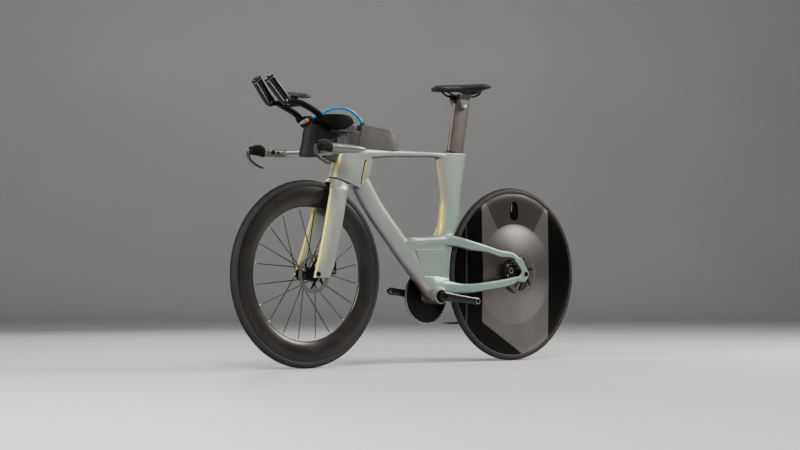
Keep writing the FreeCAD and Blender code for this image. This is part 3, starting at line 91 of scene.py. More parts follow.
# ------------------------------------------------------------------ shader helpers
class Shader:
    """One principled material and the nodes that feed it."""

    def __init__(self, name, **sockets):
        self.m = bpy.data.materials.new(name)
        self.m.use_nodes = True
        self.t = self.m.node_tree
        self.t.nodes.clear()
        out = self.t.nodes.new("ShaderNodeOutputMaterial")
        self.b = self.t.nodes.new("ShaderNodeBsdfPrincipled")
        self.t.links.new(self.b.outputs[0], out.inputs[0])
        self.tc = self.t.nodes.new("ShaderNodeTexCoord")
        self.pos = self.tc.outputs["Object"]
        self.nrm = self.tc.outputs["Normal"]
        for k, v in sockets.items():
            self.b.inputs[k.replace("_", " ")].default_value = v
        self._xyz = None

    def link(self, a, b):
        self.t.links.new(a, b)

    def feed(self, socket, value):
        if hasattr(value, "is_output"):
            self.link(value, self.b.inputs[socket])
        else:
            self.b.inputs[socket].default_value = value

    def set(self, node, socket, value):
        if hasattr(value, "is_output"):
            self.link(value, node.inputs[socket])
        else:
            node.inputs[socket].default_value = value

    def xyz(self, vec=None):
        n = self.t.nodes.new("ShaderNodeSeparateXYZ")
        self.link(vec or self.pos, n.inputs[0])
        return n.outputs[0], n.outputs[1], n.outputs[2]

    def mapped(self, scale=(1, 1, 1), loc=(0, 0, 0), rot=(0, 0, 0), vec=None):
        n = self.t.nodes.new("ShaderNodeMapping")
        n.inputs["Scale"].default_value = scale
        n.inputs["Location"].default_value = loc
        n.inputs["Rotation"].default_value = rot
        self.link(vec or self.pos, n.inputs["Vector"])
        return n.outputs[0]

    def noise(self, scale, detail=3.0, rough=0.5, vec=None, distortion=0.0):
        n = self.t.nodes.new("ShaderNodeTexNoise")
        n.inputs["Scale"].default_value = scale
        n.inputs["Detail"].default_value = detail
        n.inputs["Roughness"].default_value = rough
        n.inputs["Distortion"].default_value = distortion
        self.link(vec or self.pos, n.inputs["Vector"])
        return n.outputs["Fac"]

    def cells(self, scale, vec=None, feature="F1", out="Distance"):
        n = self.t.nodes.new("ShaderNodeTexVoronoi")
        n.feature = feature
        n.inputs["Scale"].default_value = scale
        self.link(vec or self.pos, n.inputs["Vector"])
        return n.outputs[out]

    def span(self, v, a, b, c=0.0, d=1.0, soft=True):
        n = self.t.nodes.new("ShaderNodeMapRange")
        n.interpolation_type = "SMOOTHSTEP" if soft else "LINEAR"
        n.clamp = True
        self.set(n, 0, v)
        for i, x in enumerate((a, b, c, d)):
            n.inputs[i + 1].default_value = x
        return n.outputs[0]

    def math(self, op, a, b=None, c=None):
        n = self.t.nodes.new("ShaderNodeMath")
        n.operation = op
        self.set(n, 0, a)
        if b is not None:
            self.set(n, 1, b)
        if c is not None:
            self.set(n, 2, c)
        return n.outputs[0]

    def mix(self, f, a, b):
        n = self.t.nodes.new("ShaderNodeMix")
        n.data_type = "RGBA"
        self.set(n, 0, f)
        for i, v in ((6, a), (7, b)):
            if hasattr(v, "is_output"):
                self.link(v, n.inputs[i])
            else:
                n.inputs[i].default_value = (*v, 1.0) if len(v) == 3 else v
        return n.outputs[2]

    def bump(self, height, strength=0.3, dist=0.0005, base=None):
        n = self.t.nodes.new("ShaderNodeBump")
        n.inputs["Strength"].default_value = strength
        n.inputs["Distance"].default_value = dist
        self.link(height, n.inputs["Height"])
        if base is not None:
            self.link(base, n.inputs["Normal"])
        self.link(n.outputs[0], self.b.inputs["Normal"])
        return n.outputs[0]

    def radius(self, x, z):
        """Distance from an axle that runs along y, in metres."""
        px, _, pz = self.xyz()
        dx = self.math("SUBTRACT", px, x)
        dz = self.math("SUBTRACT", pz, z)
        return self.math("SQRT", self.math("ADD", self.math("MULTIPLY", dx, dx), self.math("MULTIPLY", dz, dz)))


def plain(name, low, high, scale=60.0, rough=(0.3, 0.5), rscale=140.0, bump=None, wear=None, **sockets):
    """A finish with drifting tone, uneven roughness and a fine surface."""
    s = Shader(name, **sockets)
    tone = s.span(s.noise(scale, 4.0, 0.55), 0.3, 0.7)
    col = s.mix(tone, low, high)
    if wear:
        scratch = s.span(s.noise(wear[1], 6.0, 0.7, s.mapped((1.0, 1.0, 0.12))), 0.62, 0.72)
        col = s.mix(s.math("MULTIPLY", scratch, wear[2]), col, wear[0])
    s.feed("Base Color", col)
    s.feed("Roughness", s.span(s.noise(rscale, 5.0, 0.6), 0.25, 0.75, rough[0], rough[1]))
    if bump:
        s.bump(s.noise(bump[0], 3.0, 0.6), bump[1], bump[2])
    return s


def carbon(name, low, high, rough, coat, twill=0.0022, weave=0.5, **sockets):
    """Lacquered carbon cloth: crossing tows that catch the light differently, under a clear coat."""
    s = Shader(name, **sockets)
    x, y, z = s.xyz()
    u = s.math("DIVIDE", s.math("ADD", x, s.math("MULTIPLY", y, 0.8)), twill)
    v = s.math("DIVIDE", s.math("SUBTRACT", z, s.math("MULTIPLY", y, 0.6)), twill)
    step = s.math("ADD", s.math("FLOOR", u), s.math("FLOOR", v))
    over = s.math("GREATER_THAN", s.math("FRACT", s.math("MULTIPLY", step, 0.25)), 0.49)
    patch = s.span(s.noise(14.0, 4.0, 0.6), 0.3, 0.7)
    fibre = s.noise(900.0, 2.0, 0.5, s.mapped((1.0, 0.2, 0.15)))
    tone = s.math("ADD", s.math("MULTIPLY", over, weave * 0.5), s.math("MULTIPLY", patch, 1.0 - weave * 0.5))
    tone = s.math("MULTIPLY", tone, s.span(fibre, 0.3, 0.7, 0.8, 1.0))
    s.feed("Base Color", s.mix(tone, low, high))
    s.feed("Roughness", s.span(over, 0.0, 1.0, rough[0], rough[1]))
    s.b.inputs["Coat Weight"].default_value = coat
    s.b.inputs["Coat Roughness"].default_value = 0.12
    edge = s.math("MULTIPLY", s.math("SINE", s.math("MULTIPLY", u, math.pi)), s.math("SINE", s.math("MULTIPLY", v, math.pi)))
    s.bump(edge, 0.05, 0.0002)
    return s


# ------------------------------------------------------------------ materials
def frame_paint():
    """Pearl paint: pale mint grey, sea green towards the rear; the pearl's colour shift is painted in as straw
    highlights on some forward edges and lilac sheen underneath, with painted shade on the undersides and in the
    head-tube groove.
    """
    s = Shader("frame_paint", Metallic=0.2, IOR=1.5)
    nx, ny, nz = s.xyz(s.nrm)
    x, y, z = s.xyz()
    drift = s.noise(3.2, 3.0, 0.5)
    cloud = s.noise(9.0, 3.0, 0.5)

    def patch(c, r):
        q = None
        for v, m, k in zip((x, s.math("ABSOLUTE", y), z), c, r):
            d = s.math("DIVIDE", s.math("SUBTRACT", v, m), k)
            d = s.math("MULTIPLY", d, d)
            q = d if q is None else s.math("ADD", q, d)
        k = s.span(q, 1.0, 0.0)
        return s.math("MULTIPLY", k, k)

    rear = s.span(s.math("ADD", x, s.math("MULTIPLY", cloud, 0.16)), 0.20, -0.24)
    low = s.span(z, 0.72, 0.50)
    sea = s.math("MULTIPLY", rear, s.math("ADD", s.math("MULTIPLY", low, 0.8), 0.2))
    col = s.mix(s.span(drift, 0.3, 0.7), (0.222, 0.242, 0.226), (0.262, 0.281, 0.258))
    col = s.mix(s.math("MULTIPLY", sea, 0.85), col, (0.180, 0.275, 0.238))
    # straw painted highlight: front edges low on the fork and the seat tube, the top of the head tube, the shoulder
    # over the bottom bracket
    edge = s.math("MULTIPLY", s.span(nx, 0.10, 0.60), s.span(nz, -0.45, -0.1))
    fork_z = s.math("MULTIPLY", s.span(z, 0.66, 0.56, 0.25, 1.0), s.span(x, 0.330, 0.345))
    seat_z = s.math("MULTIPLY", s.math("MULTIPLY", s.span(z, 0.66, 0.58), s.span(z, 0.470, 0.500)), s.span(x, -0.080, -0.095))
    slot_z = s.math("MULTIPLY", s.math("MULTIPLY", s.span(x, 0.300, 0.290), s.span(x, 0.225, 0.235)), s.span(z, 0.655, 0.668))
    where = s.math("MAXIMUM", s.math("MAXIMUM", fork_z, seat_z), slot_z)
    straw = s.math("MULTIPLY", s.math("MULTIPLY", edge, where), s.span(cloud, 0.30, 0.55, 0.55, 1.0))
    highlight_spots = s.math("MAXIMUM", patch((0.392, 0.020, 0.748), (0.034, 0.040, 0.042)), s.math("MULTIPLY", patch((0.008, 0.026, 0.316), (0.030, 0.030, 0.020)), 0.5))
    # a painted highlight streak along the shoulder over the bottom bracket
    rx, rz = s.math("ADD", x, 0.026), s.math("SUBTRACT", z, 0.298)
    along = s.math("DIVIDE", s.math("ADD", s.math("MULTIPLY", rx, 0.81), s.math("MULTIPLY", rz, 0.586)), 0.044)
    across = s.math("DIVIDE", s.math("SUBTRACT", s.math("MULTIPLY", rz, 0.81), s.math("MULTIPLY", rx, 0.586)), 0.0125)
    highlight_streak = s.span(s.math("ADD", s.math("MULTIPLY", along, along), s.math("MULTIPLY", across, across)), 1.0, 0.15)
    highlight_spots = s.math("MAXIMUM", highlight_spots, s.math("MULTIPLY", highlight_streak, s.span(nz, -0.75, -0.45)))
    # a painted highlight band along the front edge of the fork leg
    ahead = s.math("ADD", s.math("MULTIPLY", x, 0.9563), s.math("MULTIPLY", z, 0.2924))
    above = s.math("SUBTRACT", s.math("MULTIPLY", z, 0.9563), s.math("MULTIPLY", x, 0.2924))
    leg_highlight = s.math("MULTIPLY", s.span(ahead, 0.560, 0.606), s.math("MULTIPLY", s.span(above, 0.165, 0.270), s.span(above, 0.490, 0.360)))
    leg_highlight = s.math("MULTIPLY", leg_highlight, s.math("MULTIPLY", s.span(ahead, 0.545, 0.555), s.span(x, 0.36, 0.38)))
    col = s.mix(s.math("MULTIPLY", leg_highlight, 0.75), col, (0.56, 0.56, 0.30))
    col = s.mix(s.math("MAXIMUM", straw, s.math("MULTIPLY", highlight_spots, 0.8)), col, (0.58, 0.52, 0.165))
    # a rose painted highlight on forward-facing edges high on the seat tube
    rose_highlight = s.math("MULTIPLY", s.math("MULTIPLY", edge, s.span(z, 0.60, 0.66)), s.math("MULTIPLY", s.span(x, -0.08, -0.095), 0.7))
    col = s.mix(rose_highlight, col, (0.40, 0.325, 0.255))
    # lilac painted sheen on downward-facing surfaces, and at two spots, on the fork crown and at the root of the seat
    # stays
    lilac = s.math("MULTIPLY", s.span(nz, -0.06, -0.40), s.span(drift, 0.28, 0.6, 0.4, 0.9))
    lilac = s.math("MAXIMUM", lilac, s.math("MULTIPLY", patch((0.395, 0.034, 0.652), (0.050, 0.03, 0.026)), 0.3))
    lilac = s.math("MAXIMUM", lilac, s.math("MULTIPLY", patch((-0.150, 0.024, 0.490), (0.050, 0.03, 0.014)), 0.7))
    col = s.mix(lilac, col, (0.232, 0.224, 0.270))
    # painted shade: downward-facing surfaces darkened, and a darker painted shade patch above the bottom bracket
    under = s.span(nz, -0.22, -0.72)
    col = s.mix(s.math("MULTIPLY", under, 0.94), col, (0.062, 0.054, 0.053))
    col = s.mix(s.math("MULTIPLY", patch((-0.066, 0.030, 0.262), (0.042, 0.045, 0.030)), 0.8), col, (0.108, 0.098, 0.090))
    # painted shade in the bed of the head-tube groove, a band just behind its front edge
    deep = s.math("SUBTRACT", s.math("MULTIPLY", s.math("SUBTRACT", x, 0.262), -0.968), s.math("MULTIPLY", s.math("SUBTRACT", z, 0.758), 0.252))
    groove_shade = s.math("MULTIPLY", s.span(deep, 0.0002, 0.0010), s.span(deep, 0.0105, 0.0075))
    groove_shade = s.math("MULTIPLY", groove_shade, s.math("MULTIPLY", s.span(z, 0.668, 0.673), s.span(z, 0.762, 0.757)))
    col = s.mix(s.math("MULTIPLY", groove_shade, 0.9), col, (0.050, 0.040, 0.028))
    flake = s.cells(2600.0, out="Color")
    fx, fy, fz = s.xyz(flake)
    col = s.mix(s.span(fx, 0.86, 1.0, 0.0, 0.2), col, (0.70, 0.72, 0.64))
    s.feed("Base Color", col)
    s.feed("Roughness", s.math("ADD", s.span(s.noise(38.0, 4.0, 0.6), 0.3, 0.7, 0.32, 0.38), s.math("MULTIPLY", fy, 0.05)))
    s.b.inputs["Coat Weight"].default_value = 0.25
    s.b.inputs["Coat Roughness"].default_value = 0.2
    s.bump(s.noise(520.0, 2.0, 0.5), 0.02, 0.0002)
    return s.m


def disc_skin():
    """Rear disc: grey lacquered carbon between two black chords, with faint plies."""
    s = Shader("disc_skin", Metallic=0.8)
    x, y, z = s.xyz()
    rx = s.math("ADD", x, 0.515)
    rz = s.math("SUBTRACT", z, 0.339)
    front = s.span(rx, 0.1740, 0.1756)
    back = s.span(rx, -0.190, -0.1916)
    cut = s.span(s.math("ADD", s.math("MULTIPLY", rx, 0.5049), s.math("MULTIPLY", rz, -0.8632)), 0.2475, 0.2491)
    # the dark lens over the hub's top, between two slanting edges
    wa = s.math("ADD", s.math("MULTIPLY", rx, 0.8586), s.math("MULTIPLY", rz, -0.5127))
    wb = s.math("ADD", s.math("MULTIPLY", rx, -0.8165), s.math("MULTIPLY", rz, -0.5774))
    dark = s.math("MULTIPLY", s.span(wa, -0.0110, -0.0126), s.span(wb, -0.0098, -0.0114))
    dark = s.math("MULTIPLY", dark, s.span(s.radius(-0.515, 0.339), 0.1950, 0.1966))
    dark = s.math("MULTIPLY", dark, s.span(y, -0.001, 0.001))
    patch = s.noise(9.0, 2.0, 0.5)
    fibre = s.noise(240.0, 3.0, 0.6, s.mapped((0.25, 1.0, 1.0)))
    grey = s.mix(s.span(patch, 0.3, 0.7), (0.150, 0.139, 0.131), (0.165, 0.153, 0.144))
    grey = s.mix(s.span(fibre, 0.35, 0.75, 0.0, 0.25), grey, (0.190, 0.178, 0.168))
    grey = s.mix(s.math("MULTIPLY", dark, 0.72), grey, (0.045, 0.042, 0.040))
    line = s.math("MULTIPLY", s.span(rx, 0.2510, 0.2530), s.span(rx, 0.2612, 0.2590))
    side = s.math("MAXIMUM", s.math("MAXIMUM", front, back), cut)
    black = s.mix(patch, (0.0040, 0.0040, 0.0040), (0.0060, 0.0059, 0.0059))
    black = s.mix(s.math("MULTIPLY", line, 0.85), black, (0.085, 0.080, 0.076))
    s.feed("Base Color", s.mix(side, grey, black))
    s.feed("Roughness", s.span(s.noise(5.0, 2.0, 0.5), 0.3, 0.7, 0.30, 0.35))
    s.b.inputs["Coat Weight"].default_value = 0.12
    s.b.inputs["Coat Roughness"].default_value = 0.2
    s.bump(s.noise(300.0, 3.0, 0.6), 0.02, 0.0002)
    return s.m


def rim_skin():
    """Deep rim: dark marbled carbon, a little lighter towards the tyre, darker on the inner edge."""
    s = Shader("rim_skin", Metallic=0.3)
    r = s.radius(0.515, 0.339)
    patch = s.noise(13.0, 2.5, 0.5)
    fine = s.noise(160.0, 4.0, 0.6)
    col = s.mix(s.span(patch, 0.32, 0.68), (0.025, 0.0228, 0.0215), (0.037, 0.0337, 0.0317))
    col = s.mix(s.span(fine, 0.45, 0.8, 0.0, 0.35), col, (0.042, 0.039, 0.037))
    col = s.mix(s.span(r, 0.300, 0.315, 0.0, 0.6), col, (0.014, 0.0135, 0.0135))
    s.feed("Base Color", col)
    s.feed("Roughness", s.span(s.noise(7.0, 2.0, 0.5), 0.3, 0.7, 0.30, 0.36))
    s.b.inputs["Coat Weight"].default_value = 0.2
    s.b.inputs["Coat Roughness"].default_value = 0.2
    s.bump(fine, 0.02, 0.0002)
    return s.m


def tyre_rubber(name, cx):
    """Black tread over a brown-grey sidewall with a fine cord."""
    s = Shader(name)
    r = s.radius(cx, 0.339)
    _, y, _ = s.xyz()
    side = s.span(s.math("ABSOLUTE", y), 0.0098, 0.0112)
    grit = s.noise(700.0, 4.0, 0.7)
    dust = s.noise(22.0, 5.0, 0.65)
    tread = s.mix(s.span(dust, 0.35, 0.75), (0.0075, 0.0075, 0.0078), (0.0150, 0.0147, 0.0147))
    wall = s.mix(s.span(dust, 0.3, 0.7), (0.018, 0.0172, 0.0168), (0.027, 0.0258, 0.0250))
    col = s.mix(side, tread, wall)
    col = s.mix(s.span(grit, 0.58, 0.8, 0.0, 0.3), col, (0.050, 0.049, 0.048))
    s.feed("Base Color", col)
    s.feed("Roughness", s.span(grit, 0.3, 0.7, 0.52, 0.78))
    s.bump(grit, 0.25, 0.0003)
    return s.m


def rotor_steel(name, cx, R):
    """Brake rotor: bright ground track on a black carrier."""
    s = Shader(name)
    r = s.radius(cx, 0.339)
    track = s.span(r, R - 0.0162, R - 0.0150)
    grind = s.noise(1.0, 3.0, 0.6, None)
    n = s.t.nodes.new("ShaderNodeCombineXYZ")
    s.link(s.math("MULTIPLY", r, 2600.0), n.inputs[0])
    rings = s.noise(1.0, 4.0, 0.7, n.outputs[0])
    steel = s.mix(s.span(rings, 0.3, 0.7), (0.17, 0.17, 0.166), (0.34, 0.335, 0.33))
    heat = s.noise(30.0, 3.0, 0.5)
    steel = s.mix(s.span(heat, 0.55, 0.75, 0.0, 0.25), steel, (0.20, 0.165, 0.135))
    arm = s.mix(s.span(heat, 0.3, 0.7), (0.018, 0.018, 0.018), (0.034, 0.034, 0.034))
    s.feed("Base Color", s.mix(track, arm, steel))
    s.feed("Metallic", s.span(track, 0.0, 1.0, 0.75, 1.0))
    s.feed("Roughness", s.span(rings, 0.3, 0.7, 0.24, 0.42))
    s.bump(rings, 0.06, 0.0002)
    return s.m


def steel(name, low, high, rough=(0.22, 0.42), line=(1.0, 0.15, 1.0), scale=420.0):
    """Turned or drawn metal with fine lines."""
    s = Shader(name, Metallic=1.0)
    lines = s.noise(scale, 4.0, 0.65, s.mapped(line))
    stain = s.noise(45.0, 4.0, 0.6)
    col = s.mix(s.span(lines, 0.3, 0.7), low, high)
    col = s.mix(s.span(stain, 0.58, 0.8, 0.0, 0.5), col, tuple(0.55 * c for c in low))
    s.feed("Base Color", col)
    s.feed("Roughness", s.span(lines, 0.25, 0.75, rough[0], rough[1]))
    s.bump(lines, 0.05, 0.0002)
    return s.m


M = {}
M["paint"] = frame_paint()
M["carbon"] = carbon("carbon", (0.015, 0.015, 0.0152), (0.023, 0.023, 0.0232), (0.56, 0.66), 0.0, weave=0.3, Specular_IOR_Level=0.35).m
M["carbon_post"] = carbon("carbon_post", (0.098, 0.086, 0.079), (0.132, 0.117, 0.108), (0.34, 0.42), 0.15, weave=0.3, Metallic=0.3).m
M["carbon_box"] = carbon("carbon_box", (0.046, 0.0415, 0.039), (0.068, 0.0615, 0.0575), (0.42, 0.50), 0.1, weave=0.3).m
M["carbon_stem"] = carbon("carbon_stem", (0.026, 0.0245, 0.0238), (0.038, 0.036, 0.035), (0.48, 0.58), 0.0, weave=0.3).m
M["carbon_dark"] = carbon("carbon_dark", (0.0030, 0.0030, 0.0030), (0.0055, 0.0054, 0.0053), (0.50, 0.60), 0.0, weave=0.4, Specular_IOR_Level=0.22).m
M["crank"] = carbon("crank_carbon", (0.006, 0.006, 0.006), (0.016, 0.0155, 0.0152), (0.26, 0.36), 0.25, weave=0.4, Specular_IOR_Level=0.45).m
M["plastic"] = plain("black_plastic", (0.006, 0.006, 0.0062), (0.013, 0.013, 0.013), 90.0, (0.42, 0.60), 220.0, (900.0, 0.12, 0.0003), IOR=1.46, Specular_IOR_Level=0.35).m
M["rubber"] = plain("grip_rubber", (0.0055, 0.0055, 0.0058), (0.012, 0.012, 0.0122), 120.0, (0.55, 0.75), 260.0, (1400.0, 0.3, 0.0003), IOR=1.46, Specular_IOR_Level=0.3).m
M["hood_ring"] = plain("hood_ring", (0.17, 0.168, 0.165), (0.25, 0.247, 0.243), 80.0, (0.30, 0.45), 160.0, (700.0, 0.08, 0.0002), Metallic=0.4).m
M["bar_grey"] = plain("bar_grey", (0.190, 0.189, 0.185), (0.215, 0.214, 0.208), 14.0, (0.28, 0.32), 30.0, (420.0, 0.015, 0.0002), Metallic=0.6).m
M["lever"] = plain("lever_satin", (0.105, 0.104, 0.102), (0.160, 0.158, 0.155), 60.0, (0.24, 0.36), 160.0, (700.0, 0.05, 0.0002), Metallic=0.7).m
M["riser"] = plain("riser_satin", (0.085, 0.084, 0.082), (0.115, 0.114, 0.111), 50.0, (0.32, 0.46), 160.0, (600.0, 0.05, 0.0002), Metallic=0.55).m
M["rim"] = rim_skin()
M["disc"] = disc_skin()
M["tyre_f"] = tyre_rubber("tyre_front", 0.515)
M["tyre_r"] = tyre_rubber("tyre_rear", -0.515)
M["rotor_f"] = rotor_steel("rotor_front", 0.515, 0.070)
M["rotor_r"] = rotor_steel("rotor_rear", -0.515, 0.080)
M["chain"] = steel("chain_steel", (0.30, 0.29, 0.28), (0.52, 0.51, 0.49), (0.25, 0.42), (1.0, 1.0, 1.0), 500.0)
M["cogs"] = steel("cog_steel", (0.26, 0.26, 0.265), (0.46, 0.46, 0.455), (0.24, 0.42), (1.0, 0.2, 1.0), 300.0)
M["alloy"] = steel("alloy", (0.46, 0.46, 0.455), (0.66, 0.655, 0.65), (0.26, 0.42), (0.2, 1.0, 1.0), 360.0)
M["bolt"] = steel("bolt_steel", (0.20, 0.20, 0.20), (0.42, 0.42, 0.415), (0.25, 0.4), (1.0, 1.0, 1.0), 600.0)
M["black_alloy"] = plain("black_alloy", (0.008, 0.008, 0.0083), (0.019, 0.019, 0.019), 70.0, (0.26, 0.42), 200.0, (800.0, 0.05, 0.0002),
                         ((0.20, 0.20, 0.20), 160.0, 0.10), Metallic=0.55).m
M["spoke"] = plain("spoke_black", (0.050, 0.050, 0.050), (0.110, 0.110, 0.110), 60.0, (0.25, 0.4), 180.0, (700.0, 0.05, 0.0002), Metallic=0.6).m
M["screen"] = plain("screen_glass", (0.016, 0.018, 0.019), (0.026, 0.028, 0.029), 18.0, (0.05, 0.10), 60.0, (60.0, 0.01, 0.0002), IOR=1.5).m
M["device"] = plain("device_shell", (0.055, 0.055, 0.056), (0.085, 0.085, 0.086), 90.0, (0.36, 0.5), 200.0, (1100.0, 0.12, 0.0002)).m
M["orange"] = plain("valve_ring", (0.70, 0.20, 0.012), (0.86, 0.30, 0.03), 120.0, (0.30, 0.42), 200.0, (900.0, 0.06, 0.0002)).m
M["valve"] = plain("valve_grey", (0.10, 0.105, 0.11), (0.27, 0.28, 0.29), 420.0, (0.35, 0.5), 260.0, (900.0, 0.10, 0.0002)).m


def hose_plastic():
    s = Shader("hose_blue", Transmission_Weight=0.12, IOR=1.45)
    tone = s.noise(36.0, 3.0, 0.5)
    s.feed("Base Color", s.mix(s.span(tone, 0.3, 0.7), (0.002, 0.190, 0.47), (0.006, 0.262, 0.58)))
    s.feed("Roughness", s.span(s.noise(240.0, 3.0, 0.5), 0.3, 0.7, 0.22, 0.34))
    s.b.inputs["Coat Weight"].default_value = 0.3
    s.b.inputs["Coat Roughness"].default_value = 0.1
    s.bump(s.noise(600.0, 2.0, 0.5), 0.03, 0.0002)
    return s.m


def cover(name, low, high, scale, rough):
    """Grained synthetic leather: irregular pebbles with darker valleys."""
    s = Shader(name, IOR=1.46, Sheen_Weight=0.08, Sheen_Roughness=0.5)
    pebble = s.cells(scale, feature="DISTANCE_TO_EDGE")
    soft = s.span(pebble, 0.0, 0.22)
    tone = s.noise(30.0, 4.0, 0.6)
    col = s.mix(s.span(tone, 0.3, 0.7), low, high)
    col = s.mix(s.span(soft, 0.0, 0.6, 0.55, 0.0), col, tuple(0.4 * c for c in low))
    s.feed("Base Color", col)
    s.feed("Roughness", s.span(s.noise(120.0, 4.0, 0.6), 0.3, 0.7, rough[0], rough[1]))
    s.bump(soft, 0.28, 0.0004)
    return s.m


def pad_cloth():
    """Knitted pad cover: small loops in rows."""
    s = Shader("pad_cloth", IOR=1.4, Sheen_Weight=0.25, Sheen_Roughness=0.6)
    x, y, z = s.xyz()
    a = s.math("SINE", s.math("MULTIPLY", s.math("ADD", x, s.math("MULTIPLY", z, 0.5)), 4200.0))
    b = s.math("SINE", s.math("MULTIPLY", s.math("ADD", y, s.math("MULTIPLY", z, 0.8)), 4200.0))
    knit = s.math("MULTIPLY", a, b)
    fuzz = s.noise(260.0, 4.0, 0.7)
    col = s.mix(s.span(fuzz, 0.3, 0.7), (0.012, 0.012, 0.0125), (0.027, 0.027, 0.028))
    col = s.mix(s.span(knit, -0.2, 0.9, 0.0, 0.4), col, (0.045, 0.045, 0.046))
    s.feed("Base Color", col)
    s.feed("Roughness", s.span(fuzz, 0.3, 0.7, 0.75, 0.95))
    s.bump(knit, 0.35, 0.0004)
    return s.m


def hood_rubber():
    """Hood: black ribbed rubber, greyer on its upward faces as a painted highlight."""
    s = Shader("hood_rubber", IOR=1.46, Specular_IOR_Level=0.3)
    nx, ny, nz = s.xyz(s.nrm)
    x, y, z = s.xyz()
    fuzz = s.noise(420.0, 4.0, 0.65)
    col = s.mix(s.span(s.noise(120.0, 3.0, 0.5), 0.3, 0.7), (0.0055, 0.0055, 0.0058), (0.012, 0.012, 0.0122))
    # painted highlight: upward-facing faces turn grey
    top = s.math("MULTIPLY", s.span(nz, 0.55, 0.85), s.span(fuzz, 0.25, 0.6, 0.6, 1.0))
    col = s.mix(s.math("MULTIPLY", top, 0.9), col, (0.075, 0.0735, 0.071))
    s.feed("Base Color", col)
    s.feed("Roughness", s.span(fuzz, 0.3, 0.7, 0.48, 0.70))
    ribs = s.math("SINE", s.math("MULTIPLY", x, 2100.0))
    s.bump(s.math("ADD", s.math("MULTIPLY", ribs, 0.35), fuzz), 0.22, 0.0003)
    return s.m


M["hood"] = hood_rubber()
M["hose"] = hose_plastic()
M["saddle"] = cover("saddle_cover", (0.0075, 0.0075, 0.0077), (0.0120, 0.0120, 0.0122), 900.0, (0.36, 0.46))
M["pad"] = pad_cloth()
M["thread"] = plain("thread", (0.045, 0.045, 0.046), (0.075, 0.075, 0.076), 300.0, (0.6, 0.8), 400.0, (2200.0, 0.3, 0.0002)).m
M["grip_frame"] = plain("grip_frame", (0.016, 0.016, 0.016), (0.026, 0.026, 0.026), 60.0, (0.30, 0.40), 120.0, (700.0, 0.05, 0.0002), Metallic=0.4).m


def clamp_metal():
    """Saddle clamp: cheeks in the tone of the post below, black cradle above."""
    s = Shader("clamp_metal", Metallic=0.3)
    x, y, z = s.xyz()
    tone = s.noise(40.0, 3.0, 0.5)
    low = s.mix(s.span(tone, 0.3, 0.7), (0.098, 0.086, 0.079), (0.132, 0.117, 0.108))
    high = s.mix(s.span(tone, 0.3, 0.7), (0.008, 0.008, 0.008), (0.016, 0.016, 0.016))
    s.feed("Base Color", s.mix(s.span(z, 1.0095, 1.0110), low, high))
    s.feed("Roughness", s.span(s.noise(160.0, 4.0, 0.6), 0.3, 0.7, 0.34, 0.46))
    s.bump(s.noise(700.0, 3.0, 0.5), 0.05, 0.0002)
    return s.m


M["clamp"] = clamp_metal()
M["seam"] = plain("seam_rubber", (0.006, 0.006, 0.006), (0.013, 0.013, 0.013), 120.0, (0.55, 0.72), 260.0, (900.0, 0.15, 0.0002)).m


